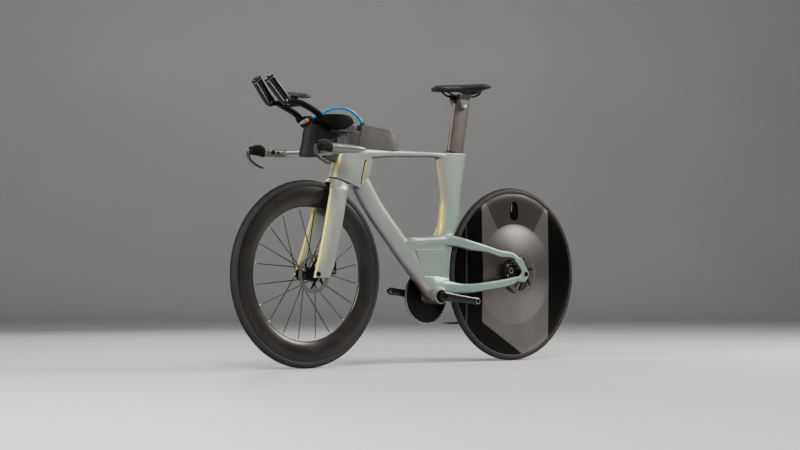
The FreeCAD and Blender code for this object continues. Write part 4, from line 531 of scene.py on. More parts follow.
# ------------------------------------------------------------------ mesh helpers
class Mesh:
    """Collects verts and faces of one piece."""

    def __init__(self):
        self.v, self.f, self.m = [], [], []

    def put(self, verts, faces, mat=0):
        o = len(self.v)
        self.v.extend(tuple(p) for p in verts)
        self.f.extend(tuple(i + o for i in f) for f in faces)
        self.m.extend(mat if isinstance(mat, list) else [mat] * len(faces))
        return self

    def rings(self, rings, mat=0, caps=True, closed=False, cols=None):
        n, k = len(rings[0]), len(rings)
        faces, mats = [], []
        for i in range(k if closed else k - 1):
            j = (i + 1) % k
            for a in range(n):
                b = (a + 1) % n
                faces.append((i * n + a, i * n + b, j * n + b, j * n + a))
                mats.append(cols[a] if cols else (mat[i] if isinstance(mat, list) else mat))
        if caps and not closed:
            faces.append(tuple(range(n))[::-1])
            faces.append(tuple((k - 1) * n + a for a in range(n)))
            mats += [mat[0], mat[-1]] if isinstance(mat, list) else [mat, mat]
        return self.put([p for r in rings for p in r], faces, mats)

    def turned(self, profile, origin, axis, seg=28, mat=0, sides=None):
        """Solid of revolution: profile is (distance along axis, radius) in metres."""
        axis = Vector(axis).normalized()
        u = axis.orthogonal().normalized()
        w = axis.cross(u)
        o = Vector(origin)
        rings = []
        for d, r in profile:
            rings.append([o + axis * d + (u * math.cos(t) + w * math.sin(t)) * max(r, 1e-5)
                          for t in (2 * math.pi * i / seg for i in range(seg))])
        return self.rings(rings, mat)

    def lathe(self, loop, origin, axis, seg=40, mat=0):
        """Ring of revolution from a closed outline of (distance along axis, radius)."""
        axis = Vector(axis).normalized()
        u = axis.orthogonal().normalized()
        w = axis.cross(u)
        o = Vector(origin)
        rings = []
        for i in range(seg):
            t = 2 * math.pi * i / seg
            q = u * math.cos(t) + w * math.sin(t)
            rings.append([o + axis * d + q * r for d, r in loop])
        return self.rings(rings, mat, closed=True)

    def band(self, centre, u, w, au, aw, expo, loop, n=64, mat=0, au2=None):
        """Collar round a rounded-square section: loop is (along u x w, outward) in metres."""
        centre, u, w = Vector(centre), Vector(u).normalized(), Vector(w).normalized()
        ax = u.cross(w)
        rings = []
        for i in range(n):
            t = 2 * math.pi * i / n
            c, q = math.cos(t), math.sin(t)
            ru = (au2 or au) if c < 0 else au
            pu = math.copysign(abs(c) ** (2 / expo), c) * ru
            pw = math.copysign(abs(q) ** (2 / expo), q) * aw
            out = Vector((c / ru, q / aw, 0)).normalized()
            rings.append([centre + u * (pu + out.x * r) + w * (pw + out.y * r) + ax * d for d, r in loop])
        return self.rings(rings, mat, closed=True)

    def rod(self, a, b, r, mat=0, seg=8):
        a, b = Vector(a), Vector(b)
        d = (b - a).length
        return self.turned([(0, r * 0.45), (r * 0.5, r * 0.9), (r, r), (d - r, r), (d - r * 0.5, r * 0.9), (d, r * 0.45)], a, b - a, seg, mat)

    def bolt(self, p, axis, r, h, mat=0, hexr=None, seg=24):
        """Button-head screw with a hexagon socket; p is the seat, axis points out."""
        hexr = hexr or r * 0.5
        axis = Vector(axis).normalized()
        u = axis.orthogonal().normalized()
        w = axis.cross(u)
        p = Vector(p)

        def ring(d, rad, hexagon=False):
            out = []
            for i in range(seg):
                t = 2 * math.pi * i / seg
                q = rad
                if hexagon:
                    k = (t + math.pi / 6) % (math.pi / 3) - math.pi / 6
                    q = rad * math.cos(math.pi / 6) / math.cos(k)
                out.append(p + axis * d + (u * math.cos(t) + w * math.sin(t)) * q)
            return out
        return self.rings([ring(-0.25 * h, r), ring(0.55 * h, r), ring(0.82 * h, r * 0.9), ring(h, r * 0.68), ring(h, hexr, True),
                           ring(0.35 * h, hexr * 0.98, True), ring(0.3 * h, hexr * 0.3, True)], mat)

    def make(self, name, mats, body, replaces=(), sharp=38.0, weld=True):
        me = bpy.data.meshes.new(name)
        me.from_pydata([tuple(p) for p in self.v], [], self.f)
        return finish_mesh(me, name, mats, body, replaces, sharp, self.m)


def finish_mesh(me, name, mats, body, replaces=(), sharp=38.0, indices=None, recalc=True):
    import bmesh
    for m in mats if isinstance(mats, (list, tuple)) else [mats]:
        me.materials.append(m)
    if indices is not None:
        me.polygons.foreach_set("material_index", np.array(indices, np.int32))
    if recalc:
        bm = bmesh.new()
        bm.from_mesh(me)
        bmesh.ops.remove_doubles(bm, verts=bm.verts, dist=1e-7)
        bmesh.ops.recalc_face_normals(bm, faces=bm.faces)
        bm.to_mesh(me)
        bm.free()
    me.polygons.foreach_set("use_smooth", np.ones(len(me.polygons), bool))
    if sharp is not None:
        me.set_sharp_from_angle(angle=math.radians(sharp))
    me.update()
    ob = bpy.data.objects.new(name, me)
    scene.collection.objects.link(ob)
    if body:
        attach(ob, body)
    if replaces:
        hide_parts(*replaces)
    return ob


def paint(node, mat, **extra):
    ob = nodes[node]
    ob.data.materials.clear()
    ob.data.materials.append(mat)
    return ob


def moulded(node, name, mat, voxel, fill=0, relax=10, hold=None, sharp=None, ease=(), shape=None):
    """A moulded skin over a CAD solid: remeshed, its inner corners filled to fillets, its edges eased."""
    src = nodes[node]
    ob = bpy.data.objects.new(name, src.data.copy())
    scene.collection.objects.link(ob)
    r = ob.modifiers.new("remesh", "REMESH")
    r.mode = "VOXEL"
    r.voxel_size = voxel
    r.adaptivity = 0.0
    bpy.context.view_layer.update()
    me = bpy.data.meshes.new_from_object(ob.evaluated_get(bpy.context.evaluated_depsgraph_get()))
    ob.modifiers.clear()
    old = ob.data
    ob.data = me
    bpy.data.meshes.remove(old)
    me.name = name
    n = len(me.vertices)
    co = np.zeros(n * 3, np.float32)
    me.vertices.foreach_get("co", co)
    co = co.reshape(-1, 3).astype(float)
    ed = np.zeros(len(me.edges) * 2, np.int32)
    me.edges.foreach_get("vertices", ed)
    ed = ed.reshape(-1, 2)
    a, b = ed[:, 0], ed[:, 1]
    deg = np.maximum(np.bincount(ed.ravel(), minlength=n), 1)[:, None]

    def pull(c):
        return np.stack([np.bincount(a, c[b, k], n) + np.bincount(b, c[a, k], n) for k in range(3)], 1) / deg - c

    def put(c):
        me.vertices.foreach_set("co", c.astype(np.float32).ravel())
        me.update()

    def taubin(c, times):
        for _ in range(times):
            c = c + 0.5 * pull(c)
            c = c - 0.53 * pull(c)
        return c
    co = taubin(co, relax)
    if fill:
        free = np.ones(n) if hold is None else 1.0 - hold(co)
        nv = np.zeros(n * 3, np.float32)
        for i in range(fill):
            if i % 5 == 0:
                put(co)
                me.vertex_normals.foreach_get("vector", nv)
                nn = nv.reshape(-1, 3).astype(float)
            h = (pull(co) * nn).sum(1)
            co = co + nn * (np.clip(h, 0, None) * 0.8 * free)[:, None]
        co = taubin(co, max(4, relax // 2))
    for cx, cy, cz, rad, times in ease:
        k = np.clip(1.0 - np.linalg.norm(co - np.array((cx, cy, cz)) * 0.001, axis=1) / (rad * 0.001), 0, 1)
        k = (k * k * (3 - 2 * k))[:, None]
        for _ in range(times):
            co = co + 0.5 * k * pull(co)
    if shape:
        co = shape(co)
    put(co)
    me.materials.clear()
    me.materials.append(mat)
    me.polygons.foreach_set("use_smooth", np.ones(len(me.polygons), bool))
    me.polygons.foreach_set("material_index", np.zeros(len(me.polygons), np.int32))
    if sharp:
        me.set_sharp_from_angle(angle=math.radians(sharp))
    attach(ob, src["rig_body"])
    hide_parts(node)
    return ob


# ------------------------------------------------------------------ drinking hose and bite valve
VD = Vector((0.91915, 0.0, -0.39392))
V0 = P(500, 0, 899)
ROUTE = [(247.5, 0, 872.0), (254.0, 0, 893.0), (267.5, 0, 911.5), (289.5, 0, 929.0), (318, 0, 941.8), (350, 0, 947.2), (383.5, 0, 944.8),
         (416.5, 0, 935.6), (448, 0, 922.2), (477.94, 0, 908.454), (500, 0, 899)]
HOSE_R = 0.0055
curve = bpy.data.curves.new("hose_line", "CURVE")
curve.dimensions = "3D"
curve.resolution_u = 24
spline = curve.splines.new("NURBS")
spline.points.add(len(ROUTE) - 1)
for pt, (x, y, z) in zip(spline.points, ROUTE):
    pt.co = (x * 0.001, y * 0.001, z * 0.001, 1.0)
spline.order_u = 3
spline.use_endpoint_u = True
line_ob = bpy.data.objects.new("hose_line", curve)
line_me = bpy.data.meshes.new_from_object(line_ob)
line = [v.co.copy() for v in line_me.vertices]
bpy.data.meshes.remove(line_me)
bpy.data.objects.remove(line_ob)
bpy.data.curves.remove(curve)

valve = Mesh()
valve.turned([(-0.006, 0.0056), (-0.006, 0.0066), (0.0, 0.0068), (0.004, 0.0064), (0.0078, 0.0063), (0.0082, 0.0078), (0.0090, 0.0082), (0.0132, 0.0082), (0.0140, 0.0079)],
             V0, VD, 40, 0)
ribs = [(0.0140, 0.0070), (0.0142, 0.0082), (0.0150, 0.0085), (0.0190, 0.0085), (0.0198, 0.0082), (0.0200, 0.0070)]
valve.turned(ribs, V0, VD, 40, 1)
mouth = [(0.0200, 0.0072), (0.0204, 0.0078), (0.0212, 0.0080), (0.0262, 0.0080), (0.0270, 0.0077), (0.0274, 0.0067), (0.0296, 0.0066), (0.0300, 0.0077), (0.0308, 0.0080),
         (0.0352, 0.0080), (0.0360, 0.0077), (0.0364, 0.0067), (0.0386, 0.0066), (0.0392, 0.0076), (0.0405, 0.0078), (0.0450, 0.0072), (0.0500, 0.0063), (0.0540, 0.0050), (0.0562, 0.0038),
         (0.0570, 0.0024), (0.0566, 0.0012)]
# the mouth piece is squeezed flat towards its tip
u_, w_ = Vector((0, 1, 0)), VD.cross(Vector((0, 1, 0))).normalized()
mr = []
for d, r in mouth:
    k = max(0.0, min(1.0, (d - 0.038) / 0.018))
    ring = []
    for i in range(40):
        t = 2 * math.pi * i / 40
        ring.append(V0 + VD * d + u_ * (r * (1.0 + 0.12 * k) * math.cos(t)) + w_ * (r * (1.0 - 0.38 * k) * math.sin(t)))
    mr.append(ring)
valve.rings(mr, 2)
valve_ob = valve.make("bite_valve_body", [M["plastic"], M["orange"], M["valve"]], "steering", ("bite_valve",))

hose = Mesh()
rings = []
for i, p in enumerate(line):
    d = (line[min(i + 1, len(line) - 1)] - line[max(i - 1, 0)]).normalized()
    side = Vector((0, 1, 0))
    up = d.cross(side).normalized()
    rings.append([p + (side * math.cos(t) + up * math.sin(t)) * HOSE_R for t in (2 * math.pi * k / 28 for k in range(28))])
hose.rings(rings)
hose_ob = hose.make("drink_hose_tube", [M["hose"]], None, ("drink_hose",), sharp=60)
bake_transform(hose_ob)

# ------------------------------------------------------------------ frame and fork skins
AXIS_D = Vector((-math.sin(math.radians(17)), 0, math.cos(math.radians(17))))
AXIS_O = P(515 - 45 / math.cos(math.radians(17)) - (677 - 339) * math.tan(math.radians(17)), 0, 677)


def axis_point(s, y, t):
    """A point by distance forward of the steering axis, to the left, and up it, in mm."""
    f = Vector((math.cos(math.radians(17)), 0, math.sin(math.radians(17))))
    return AXIS_O + f * (s * 0.001) + AXIS_D * (t * 0.001) + Vector((0, y * 0.001, 0))


def soft_in(d, r, w):
    return np.clip((r + w - d) / w, 0, 1)


def frame_hold(c):
    x, y, z = c[:, 0] * 1000, c[:, 1] * 1000, c[:, 2] * 1000
    h = soft_in(np.hypot(x + 102, z - 255), 27, 6)
    h = np.maximum(h, soft_in(np.hypot(x + 515, z - 339), 22, 5))
    h = np.maximum(h, soft_in(np.hypot(x + 521, z - 311), 14, 4))
    o, d = np.array(AXIS_O) * 1000, np.array(AXIS_D)
    rel = np.stack([x, y, z], 1) - o
    t = rel @ d
    away = np.linalg.norm(rel - t[:, None] * d, axis=1)
    h = np.maximum(h, soft_in(away, 27.5, 2.0))
    post = np.abs((x + 207 + (z - 812) * 0.1722 + 5))
    h = np.maximum(h, soft_in(np.maximum(post - 48, np.abs(y) - 13.5), 0, 3) * (z > 630))
    h = np.maximum(h, ((x > -158) & (x < 20) & (z > 324) & (z < 443) & (y > 14)).astype(float))
    groove = ((x > 233) & (x < 289) & (z > 665) & (z < 764) & (np.abs(y) > 9)).astype(float)
    return np.maximum(h, groove)


def straight_stays(c):
    """Draws the seat stays slimmer and straight between the brace and the dropouts."""
    x, y, z = c[:, 0] * 1000, c[:, 1] * 1000, c[:, 2] * 1000
    at = [-474, -400, -332, -285, -239]
    mid, half = np.interp(x, at, [393, 409, 425.5, 438.5, 451]), np.interp(x, at, [16, 17.5, 18.5, 19.5, 20.5])
    lift = np.interp(x, [-478, -462, -430, -400, -360, -332, -285, -245], [0, 2, 6.5, 8, 8.3, 7.5, 4, 0])
    slim = np.interp(x, [-478, -462, -430, -400, -332, -285, -245], [1, 0.95, 0.84, 0.77, 0.76, 0.86, 1])
    k = np.clip((half + 9 - np.abs(z - mid)) / 5, 0, 1) * np.clip((np.abs(y) - 30) / 6, 0, 1)
    out = c.copy()
    out[:, 2] += k * (lift + (z - mid) * (slim - 1)) * 0.001
    return out


frame_ob = moulded("frame", "frame_shell", M["paint"], 0.0021, 46, 12, frame_hold, shape=straight_stays,
                   ease=[(-125, 30, 318, 34, 60), (-125, -30, 318, 34, 60), (-98, 30, 322, 30, 40), (-98, -30, 322, 30, 40), (-196, 34, 468, 30, 50), (-196, -34, 468, 30, 50)])


def fork_hold(c):
    x, y, z = c[:, 0] * 1000, c[:, 1] * 1000, c[:, 2] * 1000
    h = soft_in(np.hypot(x - 515, z - 339), 18, 5)
    o, d = np.array(AXIS_O) * 1000, np.array(AXIS_D)
    rel = np.stack([x, y, z], 1) - o
    t = rel @ d
    away = np.linalg.norm(rel - t[:, None] * d, axis=1)
    return np.maximum(h, soft_in(away, 20, 4) * (t > -4))


fork_ob = moulded("fork", "fork_shell", M["paint"], 0.0019, 40, 12, fork_hold,
                  ease=[(400, 44, 636, 46, 60), (400, -44, 636, 46, 60), (366, 40, 646, 44, 70), (366, -40, 646, 44, 70), (352, 34, 650, 34, 90), (352, -34, 650, 34, 90)])

# ------------------------------------------------------------------ other moulded pieces
moulded("stem", "stem_fairing", M["carbon_stem"], 0.0016, 20, 10, None)
moulded("base_bar", "base_bar_wing", M["bar_grey"], 0.0015, 30, 10, None)
moulded("front_bottle", "front_bottle_shell", M["carbon"], 0.0016, 14, 10, None)
moulded("storage_box", "storage_box_shell", M["carbon_box"], 0.0011, 0, 8, None)
moulded("storage_lid", "storage_lid_shell", M["carbon_box"], 0.0009, 0, 6, None)


def round_heel(c):
    """Rounds the heel of each arm rest, seen from the side."""
    k = np.clip((0.440 - c[:, 0]) / 0.0685, 0, 1)
    out = c.copy()
    side = np.where(c[:, 1] > 0, 0.063, -0.063)
    out[:, 2] = 0.884 + (c[:, 2] - 0.884) * np.sqrt(1 - 0.90 * k ** 2.6)
    out[:, 1] = side + (c[:, 1] - side) * np.sqrt(1 - 0.45 * k * k)
    return out


moulded("arm_cups", "arm_cup_shells", M["carbon_dark"], 0.0011, 20, 8, None, shape=round_heel)
moulded("lever_bodies", "lever_hoods", M["hood"], 0.0009, 0, 8, None)
moulded("brake_lever_left", "lever_blade_left", M["lever"], 0.0007, 0, 8, None)
moulded("brake_lever_right", "lever_blade_right", M["lever"], 0.0007, 0, 8, None)
moulded("left_crank", "crank_arm_left", M["crank"], 0.0011, 12, 10, None)
moulded("right_crank", "crank_arm_right", M["crank"], 0.0011, 12, 10, None)
moulded("saddle_clamp", "saddle_clamp_head", M["clamp"], 0.0009, 8, 8, None)
moulded("front_brake_caliper", "front_caliper_body", M["black_alloy"], 0.0008, 6, 6, None)
moulded("rear_brake_caliper", "rear_caliper_body", M["black_alloy"], 0.0008, 6, 6, None)
moulded("derailleur_knuckle", "derailleur_lower_body", M["black_alloy"], 0.0007, 10, 6, None)
moulded("derailleur_b_knuckle", "derailleur_upper_body", M["black_alloy"], 0.0007, 10, 6, None)
moulded("derailleur_link", "derailleur_arm", M["black_alloy"], 0.0007, 8, 6, None)
moulded("bike_computer", "computer_body", M["device"], 0.0009, 0, 6, None)
moulded("seatpost", "seatpost_blade", M["carbon_post"], 0.0014, 0, 10, None)
moulded("compartment_cover", "compartment_panel", M["paint"], 0.0008, 0, 5, None)


# ------------------------------------------------------------------ tyres
def make_tyre(name, cx, mat, node, body):
    """Slick crown, slanting file tread on the shoulders, ribs on the sidewall."""
    rc, r0, segs = 0.325, 0.014, 720
    half = [0, 6, 12, 18, 23, 27, 30, 34, 38, 42, 46, 50, 54, 58, 61, 63.5, 65, 68, 72, 76, 80, 83, 84.5, 87, 88.5, 92, 96, 100, 104, 107, 108.5, 112, 113.5, 118, 124.8]
    degs = [-d for d in half[:0:-1]] + half
    rings = []
    for j in range(segs):
        f = 2 * math.pi * j / segs
        cf, sf = math.cos(f), math.sin(f)
        ring = []
        for dg in degs:
            d = abs(dg)
            r = r0 - 0.0003
            if d < 64:
                r += 0.0003
            if 28 <= d <= 60 and (j + (d - 28) * 0.16) % 6 < 2:
                r -= 0.00055
            if 84 <= d <= 88:
                r += 0.00035
            if 108 <= d <= 113:
                r += 0.00045
            t = math.radians(dg)
            k = rc + r * math.cos(t)
            ring.append((cx + k * cf, r * math.sin(t), 0.339 + k * sf))
        rings.append(ring)
    m = Mesh()
    m.rings(rings, closed=True)
    return m.make(name, [mat], body, (node,), sharp=30)


make_tyre("front_tyre_tread", 0.515, M["tyre_f"], "front_tyre", "front_wheel")
make_tyre("rear_tyre_tread", -0.515, M["tyre_r"], "rear_tyre", "rear_wheel")

# ------------------------------------------------------------------ saddle
SX = [(-95, 1040, 1049, 8), (-104, 1036, 1056, 18), (-125, 1035, 1061, 25), (-165, 1037, 1064.5, 28), (-215, 1040, 1068, 33),
      (-260, 1044, 1072, 46), (-305, 1050, 1077, 61), (-335, 1055, 1079, 65), (-350, 1060, 1077, 60), (-357, 1063, 1072, 48)]
sx = np.array([q[0] for q in SX][::-1], float)
xs = np.concatenate([np.linspace(-357, -345, 7), np.linspace(-342, -112, 62), np.linspace(-109, -95, 8)])
val = [np.interp(xs, sx, np.array([q[i] for q in SX][::-1], float)) for i in (1, 2, 3)]
keel = np.interp(xs, [-352, -338, -296, -284, -262, -236], [0, 6, 23, 22, 9, 0])
for _ in range(10):
    for v in val + [keel]:
        v[3:-4] = 0.25 * v[2:-5] + 0.5 * v[3:-4] + 0.25 * v[4:-3]
NT = 46
rings, cols = [], None
for x, z0, z1, h, kd in zip(xs, *val, keel):
    H = z1 - z0
    ze = z0 + 0.46 * H
    win = max(0.0, min(1.0, (-125 - x) / 22.0, (x + 340) / 16.0))
    ring = []
    for i in range(NT):
        a = math.radians(-90 + 180 * i / (NT - 1))
        y = h * math.copysign(abs(math.sin(a)) ** 0.86, math.sin(a))
        z = ze + (z1 - ze) * max(math.cos(a), 0.0) ** 0.72
        z -= win * (5.2 * math.exp(-(y / 7.5) ** 4) + 0.9 * math.exp(-((abs(y) - 0.62 * h) / 3.0) ** 2))
        ring.append(P(x, y, z))
    for ky, kz, kk in ((0.985, 0.30, 0), (0.945, 0.12, 0), (0.86, 0.05, 0.06), (0.76, 0.08, 0.2), (0.64, 0.14, 0.5), (0.46, 0.20, 0.88), (0.16, 0.22, 1.0), (-0.16, 0.22, 1.0),
                       (-0.46, 0.20, 0.88), (-0.64, 0.14, 0.5), (-0.76, 0.08, 0.2), (-0.86, 0.05, 0.06), (-0.945, 0.12, 0), (-0.985, 0.30, 0)):
        ring.append(P(x, ky * h, z0 + kz * H - kd * kk))
    rings.append(ring)
n = len(rings[0])
cols = [0 if a < NT - 1 else 1 for a in range(n)]
sad = Mesh()
sad.rings(rings, cols=cols)
saddle_ob = sad.make("saddle_pad", [M["saddle"], M["plastic"]], nodes["saddle"]["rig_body"], ("saddle",), sharp=50)
st = Mesh()
for c in (5, NT - 6, 16, NT - 17):
    row = [rings[i][c] + Vector((0, 0, 0.00025)) for i in range(8, len(rings) - 9)]
    for i in range(len(row) - 1):
        a, b = row[i], row[i + 1]
        st.rod(a.lerp(b, 0.12), a.lerp(b, 0.80), 0.00042, 0, 6)
st.make("saddle_stitching", [M["thread"]], nodes["saddle"]["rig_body"], sharp=60)


# ------------------------------------------------------------------ arm pads
def puffed(node, name, mat, voxel, shrink, cap, pinned, shape=None):
    """A padded piece: the CAD solid drawn in, blown up as cloth under light pressure and held where it is glued."""
    src = nodes[node]
    ob = bpy.data.objects.new(name, src.data.copy())
    scene.collection.objects.link(ob)
    r = ob.modifiers.new("remesh", "REMESH")
    r.mode, r.voxel_size = "VOXEL", voxel
    bpy.context.view_layer.update()
    me = bpy.data.meshes.new_from_object(ob.evaluated_get(bpy.context.evaluated_depsgraph_get()))
    ob.modifiers.clear()
    ob.data = me
    n = len(me.vertices)
    co = np.zeros(n * 3, np.float32)
    me.vertices.foreach_get("co", co)
    nv = np.zeros(n * 3, np.float32)
    me.vertex_normals.foreach_get("vector", nv)
    start = co.reshape(-1, 3) - nv.reshape(-1, 3) * shrink
    me.vertices.foreach_set("co", start.ravel())
    me.update()
    hold = pinned(co.reshape(-1, 3).astype(float), nv.reshape(-1, 3).astype(float))
    moved = start.copy()
    g = ob.vertex_groups.new(name="held")
    for i in np.nonzero(hold)[0]:
        g.add([int(i)], 1.0, "REPLACE")
    cl = ob.modifiers.new("cloth", "CLOTH")
    cs = cl.settings
    cs.quality = 6
    cs.mass = 0.3
    cs.tension_stiffness = cs.compression_stiffness = 12.0
    cs.bending_stiffness = 0.4
    cs.use_pressure = True
    cs.uniform_pressure_force = 4.0
    cs.effector_weights.gravity = 0.0
    cs.vertex_group_mass = "held"
    cl.collision_settings.use_collision = False
    cl.point_cache.frame_start, cl.point_cache.frame_end = 1, 20
    for f in range(1, 21):
        scene.frame_set(f)
    ev = ob.evaluated_get(bpy.context.evaluated_depsgraph_get())
    got = np.zeros(n * 3, np.float32)
    ev.data.vertices.foreach_get("co", got)
    d = got.reshape(-1, 3) - start
    k = np.linalg.norm(d, axis=1)
    moved = start + d * np.minimum(1.0, cap / np.maximum(k, 1e-9))[:, None]
    ob.modifiers.clear()
    scene.frame_set(1)
    if shape:
        moved = shape(moved.astype(float))
    me.vertices.foreach_set("co", moved.astype(np.float32).ravel())
    me.update()
    sub = ob.modifiers.new("sub", "SUBSURF")
    sub.levels = sub.render_levels = 1
    bpy.context.view_layer.update()
    fine = bpy.data.meshes.new_from_object(ob.evaluated_get(bpy.context.evaluated_depsgraph_get()))
    ob.modifiers.clear()
    ob.data = fine
    fine.materials.clear()
    fine.materials.append(mat)
    fine.polygons.foreach_set("material_index", np.zeros(len(fine.polygons), np.int32))
    fine.polygons.foreach_set("use_smooth", np.ones(len(fine.polygons), bool))
    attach(ob, src["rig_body"])
    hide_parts(node)
    return ob


def pad_back(c, nrm):
    """Where a pad lies on its cup: the side that faces away from the trough's middle."""
    y = np.abs(c[:, 1]) - 0.0622
    z = c[:, 2] - 0.900
    sy = np.sign(c[:, 1]) * nrm[:, 1]
    return (sy * y + nrm[:, 2] * z) / np.maximum(np.hypot(y, z), 1e-6) > 0.35


puffed("arm_pads", "arm_pad_cushions", M["pad"], 0.0030, 0.0014, 0.0050, pad_back, round_heel)


# ------------------------------------------------------------------ hand grips
def make_grips():
    m = Mesh()
    for sg in (1, -1):
        gb, gt = P(646, sg * 45, 951), P(719, sg * 36, 1035)
        gd = (gt - gb).normalized()
        glen = (gt - gb).length * 1000
        gv = Vector((gd.z, 0, -gd.x)).normalized()
        gw = gd.cross(gv)
        st = [(-8, 12, 14, 10), (6, 18, 19, 12), (40, 19, 18, 12.6), (78, 19, 18, 12.4), (glen - 8, 19.5, 18.5, 12), (glen, 17, 16, 10)]
        ds = np.concatenate([np.linspace(-8, 8, 9), np.linspace(9.5, glen - 10, 64), np.linspace(glen - 8.5, glen, 8)])
        A, B, Hh = (np.interp(ds, [q[0] for q in st], [q[i] for q in st]) for i in (1, 2, 3))
        rings, circ, cols = [], None, None
        for d, a, b, h in zip(ds, A, B, Hh):
            q = 4.6 * max(0.0, min(1.0, (d - 10) / 5.0, (glen - 11 - d) / 5.0))
            rib = 0.45 * math.sin(2 * math.pi * d / 5.2) * (q / 4.6)
            up = [(a, 0), (a - 0.5, 0.45 * h), (a - 1.9, 0.82 * h), (a - 3.6, 0.98 * h), (a - 5.0, h), (a - 6.2, h - 0.35 * min(q, 1.0)), (a - 7.0, h - 0.9 * q), (a - 9, h - q - rib),
                  (0.33 * a, h - q - rib), (0, h - q - rib), (-0.33 * b, h - q - rib), (-b + 9, h - q - rib), (-b + 7.0, h - 0.9 * q), (-b + 6.2, h - 0.35 * min(q, 1.0)), (-b + 5.0, h),
                  (-b + 3.6, 0.98 * h), (-b + 1.9, 0.82 * h), (-b + 0.5, 0.45 * h)]
            loop = up + [(-b, 0)] + [(v, -w) for v, w in up[:0:-1]]
            rings.append([gb + gd * (d * 0.001) + gv * (v * 0.001) + gw * (w * 0.001) for v, w in loop])
            circ = [math.atan2(w / max(h, 1), v / max(a, 1)) for v, w in loop]
        for d, r in ((glen - 0.4, 6.7), (glen - 1.0, 6.35), (glen - 7, 6.35)):
            rings.append([gb + gd * (d * 0.001) + gv * (r * 0.001 * math.cos(t)) + gw * (r * 0.001 * math.sin(t)) for t in circ])
        k = len(rings[0])
        mats = []
        for i in range(len(rings) - 1):
            for a in range(k):
                c2 = min(a, k - 1 - a)
                body = 9 <= i < 72
                mats.append(1 if body and 6 <= c2 <= 11 else (0 if (body and c2 in (3, 4, 13, 14)) or 71 <= i <= 72 else 3))
        faces = []
        for i in range(len(rings) - 1):
            for a in range(k):
                b = (a + 1) % k
                faces.append((i * k + a, i * k + b, (i + 1) * k + b, (i + 1) * k + a))
        faces += [tuple(range(k))[::-1], tuple((len(rings) - 1) * k + a for a in range(k))]
        m.put([p for r in rings for p in r], faces, mats + [1, 1])
        # clamp collar and screws at the foot of the grip
        for s2 in (1, -1):
            m.bolt(gb + gd * 0.004 + gw * (s2 * 0.0112) + gv * 0.002, gw * s2, 0.0036, 0.0022, 2)
    return m.make("hand_grip_frames", [M["hood_ring"], M["rubber"], M["bolt"], M["grip_frame"]], "steering", ("hand_grips",), sharp=40)


make_grips()

# ------------------------------------------------------------------ cockpit details
det = Mesh()
for sg in (1, -1):
    # light collars round the hoods and the lever pivots
    det.band(P(561.2, sg * 196, 784), (0, 1, 0), (0, 0, 1), 0.0133, 0.0163, 2.3, [(-0.0030, -0.0004), (-0.0026, 0.0007), (0.0026, 0.0007), (0.0030, -0.0004)])
det.make("hood_collars", [M["hood_ring"]], "steering")

small = Mesh()
for sg in (1, -1):
    small.turned([(-0.004, 0.0052), (0.0006, 0.0052), (0.0012, 0.0046), (0.0014, 0.0030), (0.0010, 0.0008)], P(504, sg * (196 - 12.6), 785), (0, -sg, 0), 28)
    small.bolt(P(404, sg * 196, 783), (-1, 0, 0), 0.0030, 0.0016)
    small.bolt(P(612, sg * (196 + 12.6), 790), (0, sg, 0), 0.0052, 0.0016)
    small.bolt(P(612, sg * (196 - 12.6), 790), (0, -sg, 0), 0.0052, 0.0016)
small.make("bar_plugs", [M["rubber"]], "steering")

comp = Mesh()


def rounded(cx, cy, z, ax, ay, expo=7, n=64):
    out = []
    for i in range(n):
        t = 2 * math.pi * i / n
        c, q = math.cos(t), math.sin(t)
        out.append(P(cx + ax * math.copysign(abs(c) ** (2 / expo), c), cy + ay * math.copysign(abs(q) ** (2 / expo), q), z))
    return out


comp.rings([rounded(559, 0, 988.2, 42.5, 20.6), rounded(559, 0, 989.7, 42.5, 20.6), rounded(559, 0, 990.0, 42.0, 20.1), rounded(559, 0, 990.0, 36.0, 17.6), rounded(559, 0, 989.75, 35.7, 17.3)], 0)
for dx in (-14, 0, 14):
    comp.turned([(-0.002, 0.0034), (0.0007, 0.0034), (0.0011, 0.0028), (0.0012, 0.0010)], P(559 + dx, 25.6, 981), (0, 1, 0), 20, 1)
    comp.turned([(-0.002, 0.0034), (0.0007, 0.0034), (0.0011, 0.0028), (0.0012, 0.0010)], P(559 + dx, -25.6, 981), (0, -1, 0), 20, 1)
comp.make("computer_screen", [M["screen"], M["rubber"]], "steering")

# gasket where the hose enters the box, and round the foot of the seatpost
up = Vector((0.2957, 0, 0.9553))
gas = Mesh()
gas.lathe([(-0.003, 0.0058), (-0.003, 0.0098), (0.0012, 0.0096), (0.0024, 0.0078), (0.0020, 0.0059)], P(247.5, 0, 872) + up * 0.0235, up)
pd = Vector((-0.1697, 0, 0.9855))
pn = Vector((pd.z, 0, -pd.x))
gas.band(P(-207 - (805.2 - 812) * 0.1722, 0, 805.2), pn, (0, 1, 0), 0.036, 0.0115, 2.1, [(0.0012, 0.0006), (0.0012, 0.0022), (-0.0006, 0.0030), (-0.0014, 0.0030), (-0.0014, 0.0006)], au2=0.046)
gas.make("frame_gaskets", [M["seam"]], "frame")

